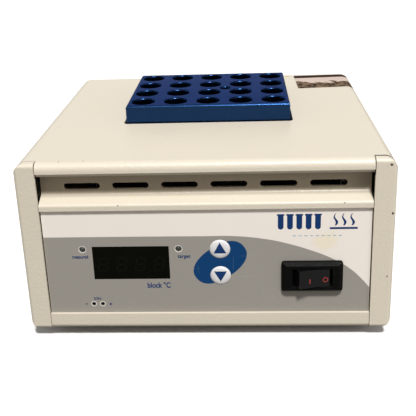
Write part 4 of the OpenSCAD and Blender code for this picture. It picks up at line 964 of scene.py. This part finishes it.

# %% [markdown]
# The corner seams behind the front face get thin strips of black painted shade. On the left only a thin dark line
# shows in the seam. On the right the strip is wider and lies at the surface, along the top and round the
# bend.

# %% Painted shade in the corner seams
EDGE_R, STRIP_WIDE, SEAM_BACK = 6.0, 11, 5.2  # the cover's bend, its front strips, and the seam's middle
BEND_DEG, BEND_STEPS = 70, 10  # how far round the bend the painted shade reaches
half_w, crown = cover_high.x / MM, case_top / MM
turns = [math.radians(BEND_DEG * i / BEND_STEPS) for i in range(BEND_STEPS + 1)]
for side, sign, wide, sunk in (("left", -1, 0.6, 0.06), ("right", 1, 1.3, -0.01)):
    reach = EDGE_R - sunk
    path = [(half_w - STRIP_WIDE, crown - sunk)]
    path += [(half_w - EDGE_R + reach * math.sin(t), crown - EDGE_R + reach * math.cos(t)) for t in turns]
    bm = bmesh.new()
    rows = [[bm.verts.new((sign * x * MM, front_y + (SEAM_BACK + y) * MM, z * MM)) for x, z in path]
            for y in (-wide / 2, wide / 2)]
    join_rows(bm, *rows, closed=False)
    # each strip is painted shade in the seam, in the black rubber finish
    place_piece(f"corner_seam_shade_{side}", bm, "foot_rubber", "housing")
print("corner seams", SEAM_BACK, "mm behind the front")

# %% [markdown]
# ## Sticker and small damage
# Thin patches are draped: each point of an outline, and of smaller rings inside it, is dropped along a direction
# onto a solid and lifted off it by a hair.

# %% Drape a patch on a solid
trees = {}
RAY_M = 0.03  # how far off the solid a ray starts


def cast(node, origin, direction):
    """First hit on a solid along a ray, with the face's normal."""
    if node not in trees:
        mesh = nodes[node].data
        trees[node] = BVHTree.FromPolygons([v.co for v in mesh.vertices], [p.vertices for p in mesh.polygons])
    spot, normal, _, _ = trees[node].ray_cast(origin, direction)
    if spot is None:
        raise ValueError(f"nothing hit on {node} from {tuple(origin)}")
    return spot, normal


def draped(name, node, outline, direction, finish_name, lift=0.02, shares=(1.0, 0.66, 0.33)):
    """Patch from a closed outline and its rings at the given shares; lift is in millimetres."""
    direction = Vector(direction)
    bm = bmesh.new()
    middle = sum(outline, Vector()) / len(outline)

    def landed(point):
        spot, normal = cast(node, point - direction * RAY_M, direction)
        return bm.verts.new(spot + normal * lift * MM)

    rings = [[landed(middle + (point - middle) * part) for point in outline] for part in shares]
    for a, b in zip(rings, rings[1:]):
        join_rows(bm, a, b)
    centre = landed(middle)
    for a, b in zip(rings[-1], rings[-1][1:] + rings[-1][:1]):
        bm.faces.new((a, b, centre))
    place_piece(name, bm, finish_name, nodes[node]["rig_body"])

# %% [markdown]
# A small printed sticker lies on the cover behind the block and reaches round its long edge. It keeps bands of
# brown and beige without any picture: a dark band behind, a pale field, and a mottled band with a ragged edge in
# front.

# %% Sticker
STICKER = [(57.6, 49.5), (94.9, 52.5), (93.9, 86.0), (56.8, 84.6)]
STICKER_MID, STICKER_LEAN, STICKER_Y = 76, 0.06, (50.9, 85.4)  # its bands run from y to y, a little askew
FRAY = 0.75  # of the mottled band's edge
# enough points that the patch stays above the cover's bend
EDGE_STEPS, STICKER_LIFT, STICKER_RINGS = 24, 0.12, (1.0, 0.95, 0.9, 0.84, 0.78, 0.66, 0.33)


def sticker_color(tree):
    aside = maths(tree, "SUBTRACT", object_place(tree, "X"), STICKER_MID * MM)
    level = maths(tree, "SUBTRACT", object_place(tree, "Y"), maths(tree, "MULTIPLY", aside, STICKER_LEAN))
    across = remap(tree, level, *(y * MM for y in STICKER_Y))
    ragged = maths(tree, "MULTIPLY", maths(tree, "SUBTRACT", noise(tree, 130.0, 5.0), 0.5), FRAY)
    low_band = remap(tree, maths(tree, "ADD", across, ragged), 0.46, 0.40)
    high_band = remap(tree, across, 0.78, 0.81)
    mottling = remap(tree, noise(tree, 420.0, 4.0), 0.42, 0.58)
    mottled = blend(tree, mottling, (0.030, 0.018, 0.011, 1), (0.20, 0.135, 0.085, 1))
    field = blend(tree, low_band, (0.60, 0.49, 0.43, 1), mottled)
    return blend(tree, high_band, field, (0.035, 0.018, 0.012, 1))


finish("sticker_print", sticker_color, 0.7, drift_by=0.2, drift_size=10, grain_size=0.5, grain_depth=0.004,
       Specular_IOR_Level=0.05)
corners = [Vector((x * MM, y * MM, case_top)) for x, y in STICKER]
outline = [a.lerp(b, t / EDGE_STEPS)
           for a, b in zip(corners, corners[1:] + corners[:1]) for t in range(EDGE_STEPS)]
draped("sticker", "cover", outline, (0, 0, -1), "sticker_print", STICKER_LIFT, STICKER_RINGS)
print("sticker with", len(outline), "points in its outline")

# %% [markdown]
# The coat has a few chips on its corners, each a small ragged patch of dark steel, and one speck of old yellow
# glue behind the block. The random draws are seeded, so the damage always falls the same way.

# %% Chips in the coat
chance = random.Random(7)
CHIP_POINTS = 13
# sheet, x, z above the underside, width and height
CHIPS_IN_FRONT = [("cover", 94.3, 65.9, 1.3, 1.8), ("cover", 92.6, 91.9, 1.5, 1.3),
                  ("front_panel", 70.3, 72.0, 0.9, 0.6), ("front_panel", -43.8, 72.0, 0.8, 0.5),
                  ("cover", 93.0, 30.5, 0.7, 1.0)]
# finish, x, y, width and depth
CHIPS_ON_TOP = [("bare_steel_chip", 94.2, -77.4, 1.0, 2.0), ("bare_steel_chip", -72.7, -84.5, 0.9, 0.7),
                ("bare_steel_chip", -60.3, -84.0, 0.7, 0.6), ("glue_yellow", 52.5, 84.0, 3.5, 2.2)]
finish("glue_yellow", (0.62, 0.43, 0.06), 0.5, drift_by=0.5, drift_size=1)


def ragged_outline(u, v, wide, high, make):
    """Closed ragged outline about (u, v) in millimetres; make turns plane millimetres into a point."""
    out = []
    for i in range(CHIP_POINTS):
        turn = 2 * math.pi * i / CHIP_POINTS
        reach = (0.7 + 0.6 * chance.random()) / 2
        out.append(make(u + wide * reach * math.cos(turn), v + high * reach * math.sin(turn)))
    return out


def front_point(x, z):
    return Vector((x * MM, front_y, floor_of_case + z * MM))


def top_point(x, y):
    return Vector((x * MM, y * MM, case_top))


for i, (sheet, *size) in enumerate(CHIPS_IN_FRONT, 1):
    draped(f"chip_front_{i}", sheet, ragged_outline(*size, front_point), (0, 1, 0), "bare_steel_chip")
for i, (finish_name, *size) in enumerate(CHIPS_ON_TOP, 1):
    draped(f"chip_top_{i}", "cover", ragged_outline(*size, top_point), (0, 0, -1), finish_name)
print(len(CHIPS_IN_FRONT) + len(CHIPS_ON_TOP), "small patches of damage")
